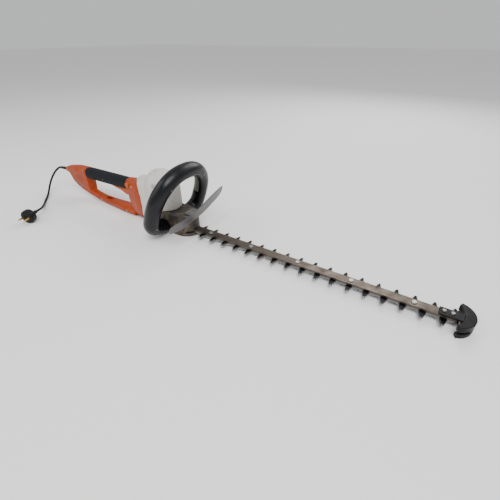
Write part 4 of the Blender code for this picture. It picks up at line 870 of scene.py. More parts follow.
# ---------------------------------------------------------------- the lead
@dataclass
class Lead:
    """The mains cord, its plug and the tapered strain relief."""

    cord_radius: float = 3.3 * MM
    plug_radius: float = 19.5 * MM
    pin_offset: float = 9.5 * MM
    groove_pitch: float = 4.2 * MM
    cord_points: int = 24
    route_mm: tuple[Point, ...] = (
        (-548, 0, 77), (-556, -0.3, 76.3), (-567, -4, 71), (-574, -14, 61), (-574, -28, 48), (-570, -42, 34),
        (-563, -55, 21), (-552, -68, 10.5), (-536, -83, 4.8), (-515, -101, 3.8), (-492, -119, 4.4),
        (-470, -133.5, 8), (-450, -147, 12.8), (-435, -159, 16.8), (-427, -169, 19), (-422, -180, 19.5))

    def build(self) -> None:
        plug = self.plug()
        pins = self.pins()
        points = self.route()
        curve = bpy.data.curves.new("cord", "CURVE")
        curve.dimensions = "3D"
        curve.bevel_depth = self.cord_radius
        curve.bevel_resolution = 4
        curve.use_fill_caps = True
        spline = curve.splines.new("POLY")
        spline.points.add(len(points) - 1)
        spline.points.foreach_set("co", np.column_stack([points, np.ones(len(points))]).ravel())
        spline.use_smooth = True
        cord = bpy.data.objects.new("cord", curve)
        bpy.context.scene.collection.objects.link(cord)
        deliver(cord, [CORD_PVC], Body.MACHINE, "cord_rubber", "mains_cord")
        self.strain_relief(points[0])

    def route(self) -> np.ndarray:
        """Return the cord's centreline, a smooth curve through the route's points."""
        return smooth_rows(np.array(self.route_mm) * MM, self.cord_points)

    def plug_axis(self) -> tuple[np.ndarray, np.ndarray]:
        """Work out the plug's axis, which goes on from the cord's end.

        Returns:
            Where the plug starts, at its radius above the ground, and its level heading.
        """
        points = self.route()
        heading = points[-1] - points[-2]
        heading /= np.linalg.norm(heading)
        heading[2] = 0.0
        heading /= np.linalg.norm(heading)
        start = points[-1] + heading * 0.3 * MM
        return np.array([start[0], start[1], self.plug_radius]), heading

    def plug(self) -> bpy.types.Object:
        """Turn the plug's body: a ribbed neck that swells into a round head with a rolled rim.

        The neck's radius in millimetres is 4.6 + 1.9 * (d / 13)^1.5, with a 0.35 mm rib each 2.6 mm.

        Returns:
            The plug.
        """
        start, heading = self.plug_axis()
        neck_mm, rib_mm = 13.0, 2.6
        neck = np.linspace(0.0, neck_mm, 27)
        ribbed = 4.6 + 1.9 * (neck / neck_mm) ** 1.5 + 0.35 * np.cos(neck * 2 * np.pi / rib_mm)
        head = [(11.4, 16), (15.6, 18), (18.2, 20.3), (19.2, 22.6), (19.45, 25), (19.45, 26.6), (18.9, 27.2),
                (18.9, 28.2), (19.45, 28.8), (19.4, 33.2), (19.0, 35.4), (18.2, 37.0), (17.2, 37.9),
                (8.0, 38.0)]
        profile = [(radius * MM, distance * MM) for radius, distance in [*zip(ribbed, neck), *head]]
        made = turned("plug", profile, start, heading, 72)
        shade(made, 50)
        deliver(made, [CORD_PVC], Body.MACHINE, "cord_rubber", "plug_body")
        return made

    def pins(self) -> list[bpy.types.Object]:
        """Turn the two contact pins, with rounded tips.

        Returns:
            The two pins.
        """
        start, heading = self.plug_axis()
        face = start + heading * 38.3 * MM
        sideways = np.array([-heading[1], heading[0], 0.0])
        profile = [(2.3 * MM, 0.0), (2.3 * MM, 17.2 * MM), (2.0 * MM, 18.2 * MM), (1.3 * MM, 18.8 * MM),
                   (0.4 * MM, 19.0 * MM)]
        made = []
        for number, offset in enumerate((-self.pin_offset, self.pin_offset)):
            pin = turned(f"contact_pin_{number + 1}", profile, face + sideways * offset, heading, 32)
            shade(pin, 40)
            deliver(pin, [PIN_BRASS], Body.MACHINE, "brass", f"plug_pin_{number + 1}")
            made.append(pin)
        return made

    def strain_relief(self, tip: np.ndarray) -> None:
        """Turn the tapered boot: its radius falls steadily, less a bending groove each 4.2 mm.

        Args:
            tip: where the cord starts.
        """
        mouth = np.array(BOOT_MOUTH)
        length = float(np.linalg.norm(tip - mouth)) - GAP
        heading = (tip - mouth) / np.linalg.norm(tip - mouth)
        share = np.linspace(0.0, 1.0, 97)
        taper = 6.3 - 2.0 * share ** 0.8
        wave = np.clip(np.cos(share * length / self.groove_pitch * 2 * np.pi) - 0.1, 0.0, 1.0)
        groove = 0.75 * wave * (share > 0.06) * (share < 0.95)
        sleeve = np.column_stack([(taper - groove) * MM, share * length])
        profile = [(3.7 * MM, -15 * MM), (3.7 * MM, -1.4 * MM), (6.1 * MM, -1.4 * MM), *map(tuple, sleeve)]
        made = turned("cord_boot", profile, mouth, heading, 48)
        shade(made, 40)
        deliver(made, [CORD_PVC], Body.HANDLE, "cord_rubber", "strain_relief",
                bend=(Body.MACHINE, mouth, tip))


# ---------------------------------------------------------------- rear handle
@dataclass
class RearHandle:
    """The orange D-handle that swivels behind the motor, its grip, trigger and lock button."""

    front_x: float = -112 * MM
    ball_radius: float = 80 * MM
    grip_rear_x: float = -388 * MM
    grip_front_x: float = -197 * MM
    grip_half_height: float = 17.5 * MM
    grip_half_width: float = 17 * MM
    thin: float = 3.3 * MM
    slot_rear_x: float = -321 * MM
    slot_front_x: float = -203 * MM
    slot_floor_z: float = 40 * MM
    pivot: tuple[float, float] = (-0.305, 0.088)
    button: tuple[float, float] = (-186 * MM, 98.3 * MM)
    screws_mm: tuple[Point, ...] = (
        (-402, 98, 15), (-164, 99, 24), (-434, 40, 14), (-342, 13.5, 13), (-214, 10, 22))

    def build(self) -> None:
        """Make the handle's visible pieces."""
        self.shells()
        self.grip()
        self.trigger()
        self.lock_button()

    def centre_z(self, x: float) -> float:
        """Return the top bar's centre height at an X."""
        return (90.0 + 4.0 * (x - self.grip_rear_x) / (self.grip_front_x - self.grip_rear_x)) * MM

    def top_rows(self) -> np.ndarray:
        """List the top bar's sections, thinned under the soft grip.

        Returns:
            (x, z, half height, half width) rows.
        """
        rear = [(-512, 80, 7, 7), (-502, 81, 10, 10), (-486, 83.4, 13.2, 12.8), (-470, 85, 15, 14.5),
                (-450, 87.2, 16.3, 15.4), (-432, 89, 17, 16), (-410, 89.7, 17.4, 16.7)]
        full = (self.grip_half_height, self.grip_half_width)
        slim = (full[0] - self.thin, full[1] - self.thin)
        rows = [tuple(value * MM for value in row) for row in rear]
        rows.append((self.grip_rear_x - 1.5 * MM, self.centre_z(self.grip_rear_x), *full))
        rows.append((self.grip_rear_x - 1.0 * MM, self.centre_z(self.grip_rear_x), *slim))
        rows += [(x, self.centre_z(x), *slim) for x in np.linspace(self.grip_rear_x, self.grip_front_x, 12)]
        rows.append((self.grip_front_x + 1.0 * MM, self.centre_z(self.grip_front_x), *slim))
        rows.append((self.grip_front_x + 1.5 * MM, self.centre_z(self.grip_front_x), *full))
        rows.append((self.grip_front_x + 24 * MM, self.centre_z(self.grip_front_x), *full))
        return np.array(rows)

    def lower_rows(self) -> np.ndarray:
        """Return the guard bar's sections below the hand."""
        rows = [(-478, 70, 11, 12), (-464, 52, 12, 13), (-437, 36, 11, 13), (-390, 22, 10, 13),
                (-338, 13, 9.5, 13.5), (-280, 10.5, 10, 17), (-225, 10.5, 10, 22), (-174, 12, 10.5, 24)]
        return smooth_rows(np.array(rows) * MM, 60)

    def shells(self) -> None:
        """Fuse the bars, the web and the front block, cut their openings and mould them as one skin."""
        web = [(-489, 68, 92, 11), (-474, 47, 98, 13), (-450, 34, 104, 14.5), (-420, 26, 106, 15),
               (-389, 20, 106, 15)]
        form = bent_bar("handle_shells", self.top_rows())
        carve(form, Carve.ADD, upright_loft("web", smooth_rows(np.array(web) * MM, 24), power=3.0),
              bent_bar("lower_bar", self.lower_rows(), power=3.0))
        head, hollow = self.front_block()
        carve(form, Carve.ADD, head)
        carve(form, Carve.CUT, hollow, *self.openings())
        mould(form, 1.6 * MM, 4)
        shade(form)
        deliver(form, [ORANGE_ABS], Body.HANDLE, "orange_plastic", "handle_shell_right", "handle_shell_left")

    def front_block(self) -> tuple[bpy.types.Object, bpy.types.Object]:
        """Loft the block that turns in the housing's dish, and its hollow; a ball rounds the front of both.

        Returns:
            The block and the solid to cut from it.
        """
        front = [(-196, 66, 113, 18.5), (-188, 40, 114, 21), (-180, 10, 115, 24), (-165, 1.5, 116, 28),
                 (-152, 3, 119, 32), (-143, 5, 125, 34.5), (-135, *COLLAR), (-108, *COLLAR)]
        inner = [(-172, 14, 105, 17), (-160, 9, 108, 22), (-148, 12, 114, 26), (-138, 12, 121, 28),
                 (-105, 12, 121, 28)]
        wall = 6 * MM
        centre = (self.front_x - self.ball_radius, 0.0, SWIVEL_Z)
        head = upright_loft("front_block", smooth_rows(np.array(front) * MM, 48))
        carve(head, Carve.KEEP, sphere("swivel_ball", centre, self.ball_radius, 96))
        hollow = upright_loft("front_hollow", np.array(inner) * MM)
        carve(hollow, Carve.KEEP, sphere("front_wall", centre, self.ball_radius - wall))
        return head, hollow

    def openings(self) -> list[bpy.types.Object]:
        """Make what is cut from the shells: bores, the trigger's slot, the hook's hole and the screws' wells.

        Returns:
            The solids to cut with.
        """
        mouth = Vector(BOOT_MOUTH)
        heading = mouth - Vector(BOOT_TIP)
        heading.normalize()
        button_x, button_z = self.button
        hook = superellipse(15 * MM, 6.5 * MM, 40, 2.0) + np.array((-314 * MM, 0.0))
        cuts = [rod("neck_bore", 14.6 * MM, (self.front_x - 20 * MM, 0, SWIVEL_Z),
                    (self.front_x + 9 * MM, 0, SWIVEL_Z)),
                rod("relief_bore", 4.2 * MM, mouth - heading * 5 * MM, mouth + heading * 22 * MM),
                block("trigger_slot", (self.slot_rear_x, -7.1 * MM, self.slot_floor_z),
                      (self.slot_front_x, 7.1 * MM, 101 * MM)),
                self.pivot_hole("pin_hole", 2.3 * MM, 30 * MM),
                raised("hook_hole", hook, (-5 * MM, 40 * MM)),
                rod("button_hole", 8.5 * MM, (button_x, -40 * MM, button_z), (button_x, -0.5 * MM, button_z))]
        for number, (x, z, half) in enumerate(self.screws_mm):
            start = (x * MM, -50 * MM, z * MM)
            seat = (x * MM, (4.5 - half) * MM, z * MM)
            cuts.append(rod(f"screw_well_{number + 1}", 4.1 * MM, start, seat))
        return cuts

    def pivot_hole(self, name: str, radius: float, half_length: float) -> bpy.types.Object:
        """Make a round solid on the trigger's pivot, to cut with.

        Args:
            name: the object's name.
            radius: the hole's radius.
            half_length: how far it reaches to each side.

        Returns:
            The new object.
        """
        x, z = self.pivot
        return rod(name, radius, (x, -half_length, z), (x, half_length, z))

    def grip(self) -> None:
        """Mould the soft sleeve: a plain tube with rounded ends, slotted for the trigger."""
        along = np.linspace(self.grip_rear_x + 0.3 * MM, self.grip_front_x - 0.3 * MM, 120)
        share = (along - along[0]) / (along[-1] - along[0])
        ends = 1.2 * MM * (np.exp(-share * 40) + np.exp(-(1 - share) * 40))
        height = (90.0 + 4.0 * share) * MM
        rows = np.column_stack([along, height, self.grip_half_height - ends, self.grip_half_width - ends])
        sleeve = bent_bar("grip_cover", rows)
        core_rows = np.array([(x, self.centre_z(x), self.grip_half_height, self.grip_half_width)
                              for x in np.linspace(self.grip_rear_x - 8 * MM, self.grip_front_x + 8 * MM, 6)])
        core = bent_bar("grip_core", core_rows, shrink=3 * MM)
        slot = block("grip_slot", (self.slot_rear_x, -7.0 * MM, self.slot_floor_z),
                     (self.slot_front_x, 7.0 * MM, 90 * MM))
        carve(sleeve, Carve.CUT, core, slot, self.pivot_hole("grip_pin_hole", 2.3 * MM, 30 * MM))
        mould(sleeve, 1.1 * MM, 2)
        shade(sleeve)
        deliver(sleeve, [GRIP_RUBBER], Body.HANDLE, "grip_rubber", "grip_sleeve")

    def trigger(self) -> None:
        """Mould the long trigger: a side outline raised across, with rounded edges and a finger hollow."""
        side = np.array([(-313, 83), (-290, 76), (-262, 70), (-236, 65), (-226, 60), (-216, 56), (-210, 59),
                         (-211, 74), (-210, 86), (-250, 86), (-290, 90), (-313, 92)]) * MM
        made = raised("trigger_lever", side, (-6.3 * MM, 6.3 * MM), Axis.Y)
        carve(made, Carve.CUT, self.pivot_hole("trigger_bore", 2.4 * MM, 20 * MM))
        mould(made, 0.8 * MM, 3)
        shade(made)
        deliver(made, [TRIGGER_ABS], Body.TRIGGER, "trigger_orange", "trigger")

    def lock_button(self) -> None:
        """Turn the lock button: a dished cap with two finger rings."""
        profile = [(7.8, 7), (7.8, 20.4), (7.5, 21.4), (6.9, 22.1), (6.2, 22.3), (5.6, 22.0), (5.0, 22.2),
                   (4.4, 21.8), (3.8, 22.0), (3.0, 21.5), (1.5, 21.3), (0.4, 21.3)]
        scaled = [(radius * MM, distance * MM) for radius, distance in profile]
        x, z = self.button
        made = turned("side_lock_button", scaled, (x, 0.0, z - 0.07 * MM), (0, -1, 0), 56)
        shade(made, 60)
        deliver(made, [TRIGGER_ABS], Body.LOCK_BUTTON, "trigger_orange", "lock_button")


# ---------------------------------------------------------------- motor housing
@dataclass
class MotorHousing:
    """The pale cover over the upright motor, with its vents and the block that the handle turns on."""

    dome_x: float = -62 * MM
    half_length: float = 50 * MM
    half_width: float = 45 * MM
    shoulder_z: float = 112 * MM
    top_z: float = 164 * MM
    base_z: float = CASE_TOP_Z
    wall: float = 3 * MM
    vents: int = 5
    ball_centre: Point = (-0.192, 0.0, 0.068)

    def dome(self, name: str, shrink: float, low_z: float) -> bpy.types.Object:
        """Raise the egg: the plan ellipse stands straight to the shoulder, then closes as a quarter ellipse.

        Args:
            name: the object's name.
            shrink: how far inside the outer surface it lies.
            low_z: where it starts.

        Returns:
            The new object.
        """
        angle = np.radians(np.linspace(0, 88, 30))
        heights = np.concatenate([np.linspace(low_z, self.shoulder_z, 8)[:-1],
                                  self.shoulder_z + (self.top_z - shrink - self.shoulder_z) * np.sin(angle)])
        scale = np.concatenate([np.ones(7), np.cos(angle)])
        plan = superellipse((self.half_length - shrink) * scale, (self.half_width - shrink) * scale, 96, 2.0)
        plan[..., 0] += self.dome_x
        level = np.broadcast_to(heights[:, None], plan.shape[:2])
        return skin(name, np.concatenate([plan, level[..., None]], axis=-1))

    def build(self) -> None:
        """Fuse the dome, rear block and neck, hollow them, cut the dish and the vents, and mould the skin."""
        cover = self.dome("motor_cover", 0.0, self.base_z)
        rear = [(-60.3, *COLLAR), (-162, *COLLAR)]
        carve(cover, Carve.ADD, upright_loft("rear_block", np.array(rear) * MM))
        inner = [(-63.3, *COLLAR), (-162, *COLLAR)]
        hollow = upright_loft("block_hollow", np.array(inner) * MM, shrink=self.wall)
        carve(hollow, Carve.CUT, sphere("dish_wall", self.ball_centre, 84.3 * MM))
        carve(cover, Carve.CUT, self.dome("dome_hollow", self.wall, self.base_z - 5 * MM), hollow,
              sphere("dish", self.ball_centre, 80.5 * MM, 96))
        neck = [(14 * MM, -109 * MM), (14 * MM, -122.5 * MM), (20 * MM, -122.5 * MM), (20 * MM, -126.5 * MM)]
        carve(cover, Carve.ADD, turned("neck", neck, (0, 0, SWIVEL_Z), (1, 0, 0)))
        cuts = [rod("cable_way", 9 * MM, (-0.130, 0, SWIVEL_Z), (-0.100, 0, SWIVEL_Z))]
        for side in (-1, 1):
            for number in range(self.vents):
                x = self.dome_x + 16 * MM + number * 6 * MM
                y = side * self.half_width
                cuts.append(block(f"vent_{side}_{number}", (x, y - 14 * MM, self.base_z + 14 * MM),
                                  (x + 2.8 * MM, y + 14 * MM, self.base_z + 38 * MM)))
        carve(cover, Carve.CUT, *cuts)
        mould(cover, 1.45 * MM, 3)
        shade(cover)
        deliver(cover, [HOUSING_ABS], Body.MACHINE, "housing_white", "motor_housing")


# ---------------------------------------------------------------- gear case
def guard_screw_holes(name: str, low: float, high: float) -> list[bpy.types.Object]:
    """Make the two upright round solids that cut the guard's screw holes.

    Args:
        name: the start of their names.
        low: where they start.
        high: where they end.

    Returns:
        The right one and the left one.
    """
    return [rod(f"{name}_{side}", 2.3 * MM, (GUARD_SCREW_X, side * GUARD_SCREW_Y, low),
                (GUARD_SCREW_X, side * GUARD_SCREW_Y, high)) for side in (-1, 1)]


@dataclass
class GearCase:
    """The cast case under the motor: a lofted upper casting with a rounded shoulder, and the sole."""

    half_width: float = 35 * MM
    rear_x: float = -60 * MM
    nose_x: float = 50 * MM
    nose_length: float = 42 * MM
    top_z: float = 62 * MM
    joint_z: float = 8.8 * MM
    blade_top_z: float = 14.05 * MM
    foot: tuple[float, float] = (-35.4 * MM, 23.1 * MM)

    def plan(self, inset: float) -> np.ndarray:
        """Return the case's plan, drawn in by an inset: an elliptic nose and rounded rear corners.

        Args:
            inset: how far inside the outer plan it lies.

        Returns:
            (n, 2) points.
        """
        nose = np.radians(np.linspace(-90, 90, 49))
        half = self.half_width - inset
        corner = 8 * MM - inset / 2
        nose_x = self.nose_x - self.nose_length + (self.nose_length - inset) * np.cos(nose)
        front = np.column_stack([nose_x, half * np.sin(nose)])
        turn = np.radians(np.linspace(90, 180, 10))
        rear = self.rear_x + inset
        left = np.column_stack([rear + corner + corner * np.cos(turn), half - corner + corner * np.sin(turn)])
        right = np.column_stack([left[::-1, 0], -left[::-1, 1]])
        return np.vstack([front, left, right])

    def build(self) -> None:
        """Make the upper casting and the sole."""
        self.casting()
        self.sole()

    def casting(self) -> None:
        """Raise the casting with a rounded shoulder, hollow it and open its nose for the blades."""
        turn = np.radians(np.linspace(0, 90, 7))
        radius = 5 * MM
        levels = [self.joint_z, self.joint_z + 5 * MM, self.joint_z + 5.6 * MM,
                  *(self.top_z - radius + radius * np.sin(turn))]
        insets = [0.0, 0.0, 1.0 * MM, *(1.0 * MM + radius * (1 - np.cos(turn)))]
        made = raised("gear_casting", self.plan(0.0), levels, outlines=[self.plan(inset) for inset in insets])
        hollow = raised("case_hollow", self.plan(0.0), (self.joint_z - MM, 55 * MM),
                        outlines=[self.plan(4 * MM), self.plan(4 * MM)])
        x, z = self.foot
        spigots = [rod(f"spigot_{side}", 9 * MM, (x, side * 32 * MM, z), (x, side * 48.5 * MM, z))
                   for side in (-1, 1)]
        cuts = [hollow,
                block("blade_slit", (32 * MM, -70 * MM, self.joint_z - 2 * MM),
                      (60 * MM, 70 * MM, self.blade_top_z + GAP)),
                block("rail_mouth", (29 * MM, -11.4 * MM, self.joint_z), (60 * MM, 11.4 * MM, 19.3 * MM)),
                rod("shaft_hole", 5.2 * MM, (MOTOR_AXIS_X, 0, 50 * MM), (MOTOR_AXIS_X, 0, 64 * MM))]
        cuts += guard_screw_holes("guard_screw_hole", 50 * MM, 64 * MM)
        carve(made, Carve.CUT, *cuts)
        carve(made, Carve.ADD, *spigots)
        mould(made, 1.15 * MM, 2)
        shade(made)
        deliver(made, [CASE_CASTING], Body.MACHINE, "gear_case_metal", "gearcase_upper")

    def sole(self) -> None:
        """Raise the sole plate with a rolled edge."""
        turn = np.radians(np.linspace(0, 90, 5))
        radius = 2.2 * MM
        levels = [*(radius - radius * np.cos(turn)), 8.0 * MM, 8.5 * MM]
        insets = [*(radius - radius * np.sin(turn)), 0.0, 0.5 * MM]
        made = raised("sole_plate", self.plan(0.0), levels, outlines=[self.plan(inset) for inset in insets])
        seat = rod("bush_seat", 6.3 * MM, (CRANK_AXIS_X, 0, 3.5 * MM), (CRANK_AXIS_X, 0, 10 * MM))
        carve(made, Carve.CUT, seat)
        shade(made, 30)
        deliver(made, [CASE_CASTING], Body.MACHINE, "gear_case_metal", "gearcase_sole")


# ---------------------------------------------------------------- loop handle
@dataclass
class LoopHandle:
    """The black loop over the machine: two half tubes with the switch bar in the groove between them."""

    base_x: float = -40 * MM
    half_width: float = 93 * MM
    height: float = 177 * MM
    shoulder: float = 60 * MM
    foot: float = 10 * MM
    half_thickness: float = 18 * MM
    half_depth: float = 21 * MM
    wall: float = 3 * MM
    bar_half: float = 6 * MM
    parting: float = 0.15 * MM
    power_above: float = 2.3
    power_below: float = 3.4
    count: int = 277
    stations: int = 46
    screw_stations: tuple[int, ...] = (6, 17, 29, 40)

    def path(self) -> tuple[np.ndarray, np.ndarray]:
        """Work out the centreline and its outward normals, in the loop's own plane.

        The line is a superellipse, squarer below its shoulder than above it, opened at the bottom where
        its feet meet the gear case's sides.

        Returns:
            (across, along) points at even steps, and the normal at each.
        """
        end_y = 35.3 * MM
        angle = np.linspace(-np.pi / 2, 1.5 * np.pi, 2881)
        high = np.sin(angle) > 0
        power = np.where(high, self.power_above, self.power_below)
        rise = np.where(high, self.height - self.shoulder, self.shoulder - self.foot)
        across = np.sign(np.cos(angle)) * np.abs(np.cos(angle)) ** (2 / power) * self.half_width
        along = self.shoulder + np.sign(np.sin(angle)) * np.abs(np.sin(angle)) ** (2 / power) * rise
        kept = (np.abs(across) > end_y) | high
        points = np.column_stack([across[kept], along[kept]])[::-1]
        points = np.vstack([(-end_y, self.foot), points, (end_y, self.foot)])
        steps = np.concatenate([[0.0], np.cumsum(np.linalg.norm(np.diff(points, axis=0), axis=1))])
        even = np.linspace(0.0, steps[-1], self.count)
        path = np.column_stack([np.interp(even, steps, points[:, column]) for column in (0, 1)])
        tangent = np.gradient(path, axis=0)
        tangent[[0, 1, -2, -1]] = (-1.0, 0.0)
        kernel = np.ones(9) / 9
        for column in (0, 1):
            tangent[4:-4, column] = np.convolve(tangent[:, column], kernel, mode="valid")
        tangent /= np.linalg.norm(tangent, axis=1)[:, None]
        return path, np.column_stack([-tangent[:, 1], tangent[:, 0]])

    def place(self, path: np.ndarray, normal: np.ndarray, radial: np.ndarray,
              depth: np.ndarray) -> np.ndarray:
        """Place section points: radial lies in the loop's leaning plane and depth square to it.

        Args:
            path: (rows, 2) centreline points.
            normal: (rows, 2) outward normals.
            radial: section offsets, broadcast over the rows.
            depth: section offsets, broadcast over the rows.

        Returns:
            (rows, columns, 3) points in the row frame.
        """
        along = path[:, None, 1] + radial * normal[:, None, 1]
        across = path[:, None, 0] + radial * normal[:, None, 0]
        x = self.base_x + along * math.sin(LEAN) + depth * math.cos(LEAN)
        z = SHEAR_Z + along * math.cos(LEAN) - depth * math.sin(LEAN)
        return np.stack(np.broadcast_arrays(x, across, z), axis=-1)

    def build(self) -> None:
        """Make both half tubes and the switch bar."""
        path, normal = self.path()
        share = np.linspace(0.0, 1.0, self.count)
        groove = (share > 9 / self.stations) & (share < 37 / self.stations)
        for side, label in ((1, "front"), (-1, "rear")):
            edge = np.where(groove, self.bar_half + 0.4 * MM, self.parting)
            rows = []
            for wall, order in ((0.0, 1), (self.wall, -1)):
                depth_half = self.half_depth - wall
                start = math.asin(self.parting / depth_half)
                end = np.pi - np.arcsin(edge / depth_half)
                steps = np.linspace(0.0, 1.0, 26)[::order]
                angle = start + (end[:, None] - start) * steps[None]
                radial = (self.half_thickness - wall) * np.cos(angle)
                rows.append(self.place(path, normal, radial, side * depth_half * np.sin(angle)))
            made = skin(f"loop_{label}", np.concatenate(rows, axis=1))
            if side > 0:
                self.screw_wells(made, path)
            shade(made, 40)
            deliver(made, [LOOP_NYLON], Body.MACHINE, "loop_black", f"loop_{label}_shell")
        self.switch_bar(path, normal)

    def switch_bar(self, path: np.ndarray, normal: np.ndarray) -> None:
        """Carry the bar's section along the groove, with a fine rib every third row on its inner face.

        Args:
            path: (rows, 2) centreline points.
            normal: (rows, 2) outward normals.
        """
        first = round(self.count * 10 / self.stations)
        last = round(self.count * 36 / self.stations)
        section = superellipse(4.85 * MM, 5.9 * MM, 28, 4.0)
        ribs = 0.25 * MM * np.cos(np.arange(last - first) * 2 * np.pi / 3)
        radial = -15.2 * MM + section[None, :, 0] * np.ones((last - first, 1))
        radial = radial - np.where(section[None, :, 0] < -2 * MM, ribs[:, None], 0.0)
        points = self.place(path[first:last], normal[first:last], radial, section[None, :, 1])
        bar = skin("loop_switch", points)
        shade(bar, 50)
        deliver(bar, [SWITCH_ABS], Body.SWITCH_BAR, "switch_bar_grey", "loop_switch_bar")

    def screw_wells(self, shell: bpy.types.Object, path: np.ndarray) -> None:
        """Cut the four wells that the loop's screws sit in.

        Args:
            shell: the front half tube.
            path: (rows, 2) centreline points.
        """
        heading = Vector((math.cos(LEAN), 0.0, -math.sin(LEAN)))
        for number, station in enumerate(self.screw_stations):
            across, along = path[round(station / self.stations * (self.count - 1))]
            middle = Vector((self.base_x + along * math.sin(LEAN), across, SHEAR_Z + along * math.cos(LEAN)))
            low = middle + heading * (self.half_depth - 7 * MM)
            high = middle + heading * (self.half_depth + 6 * MM)
            carve(shell, Carve.CUT, rod(f"loop_well_{number + 1}", 3.8 * MM, low, high))


# ---------------------------------------------------------------- hand guard
@dataclass
class HandGuard:
    """The smoky visor before the loop: a thin leaning sheet that stands high on the left."""

    base_x: float = 36 * MM
    thickness: float = 2.6 * MM
    swept_back: float = 9 * MM
    rows_mm: tuple[Point, ...] = (
        (-98, 52, 60), (-94, 46, 66), (-78, 42, 69), (-55, 42, 71), (-28, 46, 77), (-4, 53, 87), (15, 58, 97),
        (36, 64, 105), (57, 72, 111), (80, 79, 114), (93, 85, 112), (98, 92, 104))

    def build(self) -> None:
        """Carry a thin rounded section across, and add the screwed foot.

        At a distance y across, the sheet stands 9 mm * (y / 98 mm)^2 further back than in the middle.
        """
        rows = smooth_rows(self.rows_mm, 150) * MM
        section = superellipse(1.0, 1.0, 64, 9.0)
        middle = ((rows[:, 1] + rows[:, 2]) / 2)[:, None]
        height = middle + section[None, :, 0] * ((rows[:, 2] - rows[:, 1]) / 2)[:, None]
        sweep = (self.swept_back * (rows[:, 0] / (98 * MM)) ** 2)[:, None]
        x = self.base_x + (height - SHEAR_Z) * math.tan(LEAN) - sweep
        x = x + self.thickness * (0.5 + 0.48 * section[None, :, 1])
        across = np.broadcast_to(rows[:, :1], height.shape)
        made = skin("hand_visor", np.stack([x, across, height], axis=-1))
        foot = block("visor_foot", (25.2 * MM, -17 * MM, CASE_TOP_Z), (58 * MM, 17 * MM, CASE_TOP_Z + 3 * MM))
        carve(made, Carve.ADD, foot)
        carve(made, Carve.CUT, *guard_screw_holes("visor_hole", 60 * MM, 70 * MM))
        shade(made, 35)
        deliver(made, [GUARD_PC], Body.MACHINE, "guard_plastic", "hand_guard")


# ---------------------------------------------------------------- cutting blades
@dataclass
class CuttingBlade:
    """One blade: a comb whose tapered teeth are ground on both sides and at the tip."""

    name: str
    node: str
    body: Body
    mating_z: float
    outer_z: float
    yoke_x: float
    travel: float
    pitch: float = 36 * MM
    first_tooth_x: float = 60 * MM
    teeth_left: int = 18
    bar_half: float = 11 * MM
    grind: float = 1.5 * MM
    root_half: float = 7.5 * MM
    bolts: int = 5
    slot_half: float = 3.3 * MM

    def teeth(self, side: int, inset: float) -> np.ndarray:
        """Return one edge's outline in order of X: each tooth tapers from root to a rounded tip.

        Args:
            side: +1 for the left edge and -1 for the right.
            inset: how far the ground face has moved the outline in.

        Returns:
            (n, 2) points.
        """
        count = self.teeth_left if side > 0 else self.teeth_left - 1
        offset = 0.0 if side > 0 else 0.5 * self.pitch
        half_along = np.array([7.5, 5.6, 2.9, 1.9, 0.0]) * MM
        reach = np.array([11.0, 18.5, 29.4, 30.7, 31.2]) * MM
        half_along = np.maximum(half_along - inset * np.array([0.8, 1.0, 1.0, 0.9, 0.0]), 0.0)
        reach = reach - inset * np.array([0.0, 0.1, 0.9, 1.0, 1.0])
        along = np.concatenate([-half_along, half_along[-2::-1]])
        across = np.concatenate([reach, reach[-2::-1]])
        centres = self.first_tooth_x + offset + np.arange(count) * self.pitch
        return np.column_stack([(centres[:, None] + along).ravel(), side * np.tile(across, count)])

    def outline(self, inset: float) -> np.ndarray:
        """Work out the whole comb's outline with its yoke, drawn in by the grinding on its teeth.

        Args:
            inset: how far the ground face has moved the outline in.

        Returns:
            (n, 2) points.
        """
        half_x, half_y = 18.28 * MM, 25.4 * MM
        rear_x, front_x = self.yoke_x - half_x, self.yoke_x + half_x
        yoke = np.array([(rear_x, -half_y), (front_x, -half_y), (front_x, -self.bar_half)])
        end_x = self.first_tooth_x + (self.teeth_left - 1) * self.pitch + self.root_half
        far = yoke[::-1] * np.array((1.0, -1.0))
        end = [(end_x, -self.bar_half)]
        return np.vstack([yoke, self.teeth(-1, inset), end, self.teeth(1, inset)[::-1], far])

    def build(self) -> None:
        """Loft the comb from its mating face to its ground outer face, then cut its yoke and slots."""
        made = raised(self.name, self.outline(0.0), (self.mating_z, self.outer_z),
                      outlines=[self.outline(0.0), self.outline(self.grind)])
        made.data.materials.append(BLADE_STEEL.material())
        made.data.materials.append(GROUND_EDGE.material())
        normals = np.empty(len(made.data.polygons) * 3)
        made.data.polygons.foreach_get("normal", normals)
        steep = np.abs(normals.reshape(-1, 3)[:, 2]) < 0.97
        made.data.polygons.foreach_set("material_index", steep.astype(np.int32))
        low, high = sorted((self.mating_z, self.outer_z))
        slot_x, slot_y = 14.28 * MM, 21.4 * MM
        cuts = [block("yoke_slot", (self.yoke_x - slot_x, -slot_y, low - MM),
                      (self.yoke_x + slot_x, slot_y, high + MM))]
        first = self.first_tooth_x + self.pitch
        last = self.first_tooth_x + (self.teeth_left - 3) * self.pitch
        turn = np.radians(np.linspace(-90, 90, 12))
        for number in range(self.bolts):
            bolt_x = first + (last - first) * number / (self.bolts - 1)
            start = bolt_x - max(self.travel, 0.0) - 0.4 * MM
            end = bolt_x - min(self.travel, 0.0) + 0.4 * MM
            front = np.column_stack([end + self.slot_half * np.cos(turn), self.slot_half * np.sin(turn)])
            back = np.column_stack([start - self.slot_half * np.cos(turn), -self.slot_half * np.sin(turn)])
            cuts.append(raised(f"bolt_slot_{number}", np.vstack([front, back]), (low - MM, high + MM)))
        carve(made, Carve.CUT, *cuts)
        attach(made, self.body.value)
        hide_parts(self.node)
        LOG.info("%s: %d faces on %s", self.name, len(made.data.polygons), self.body.value)


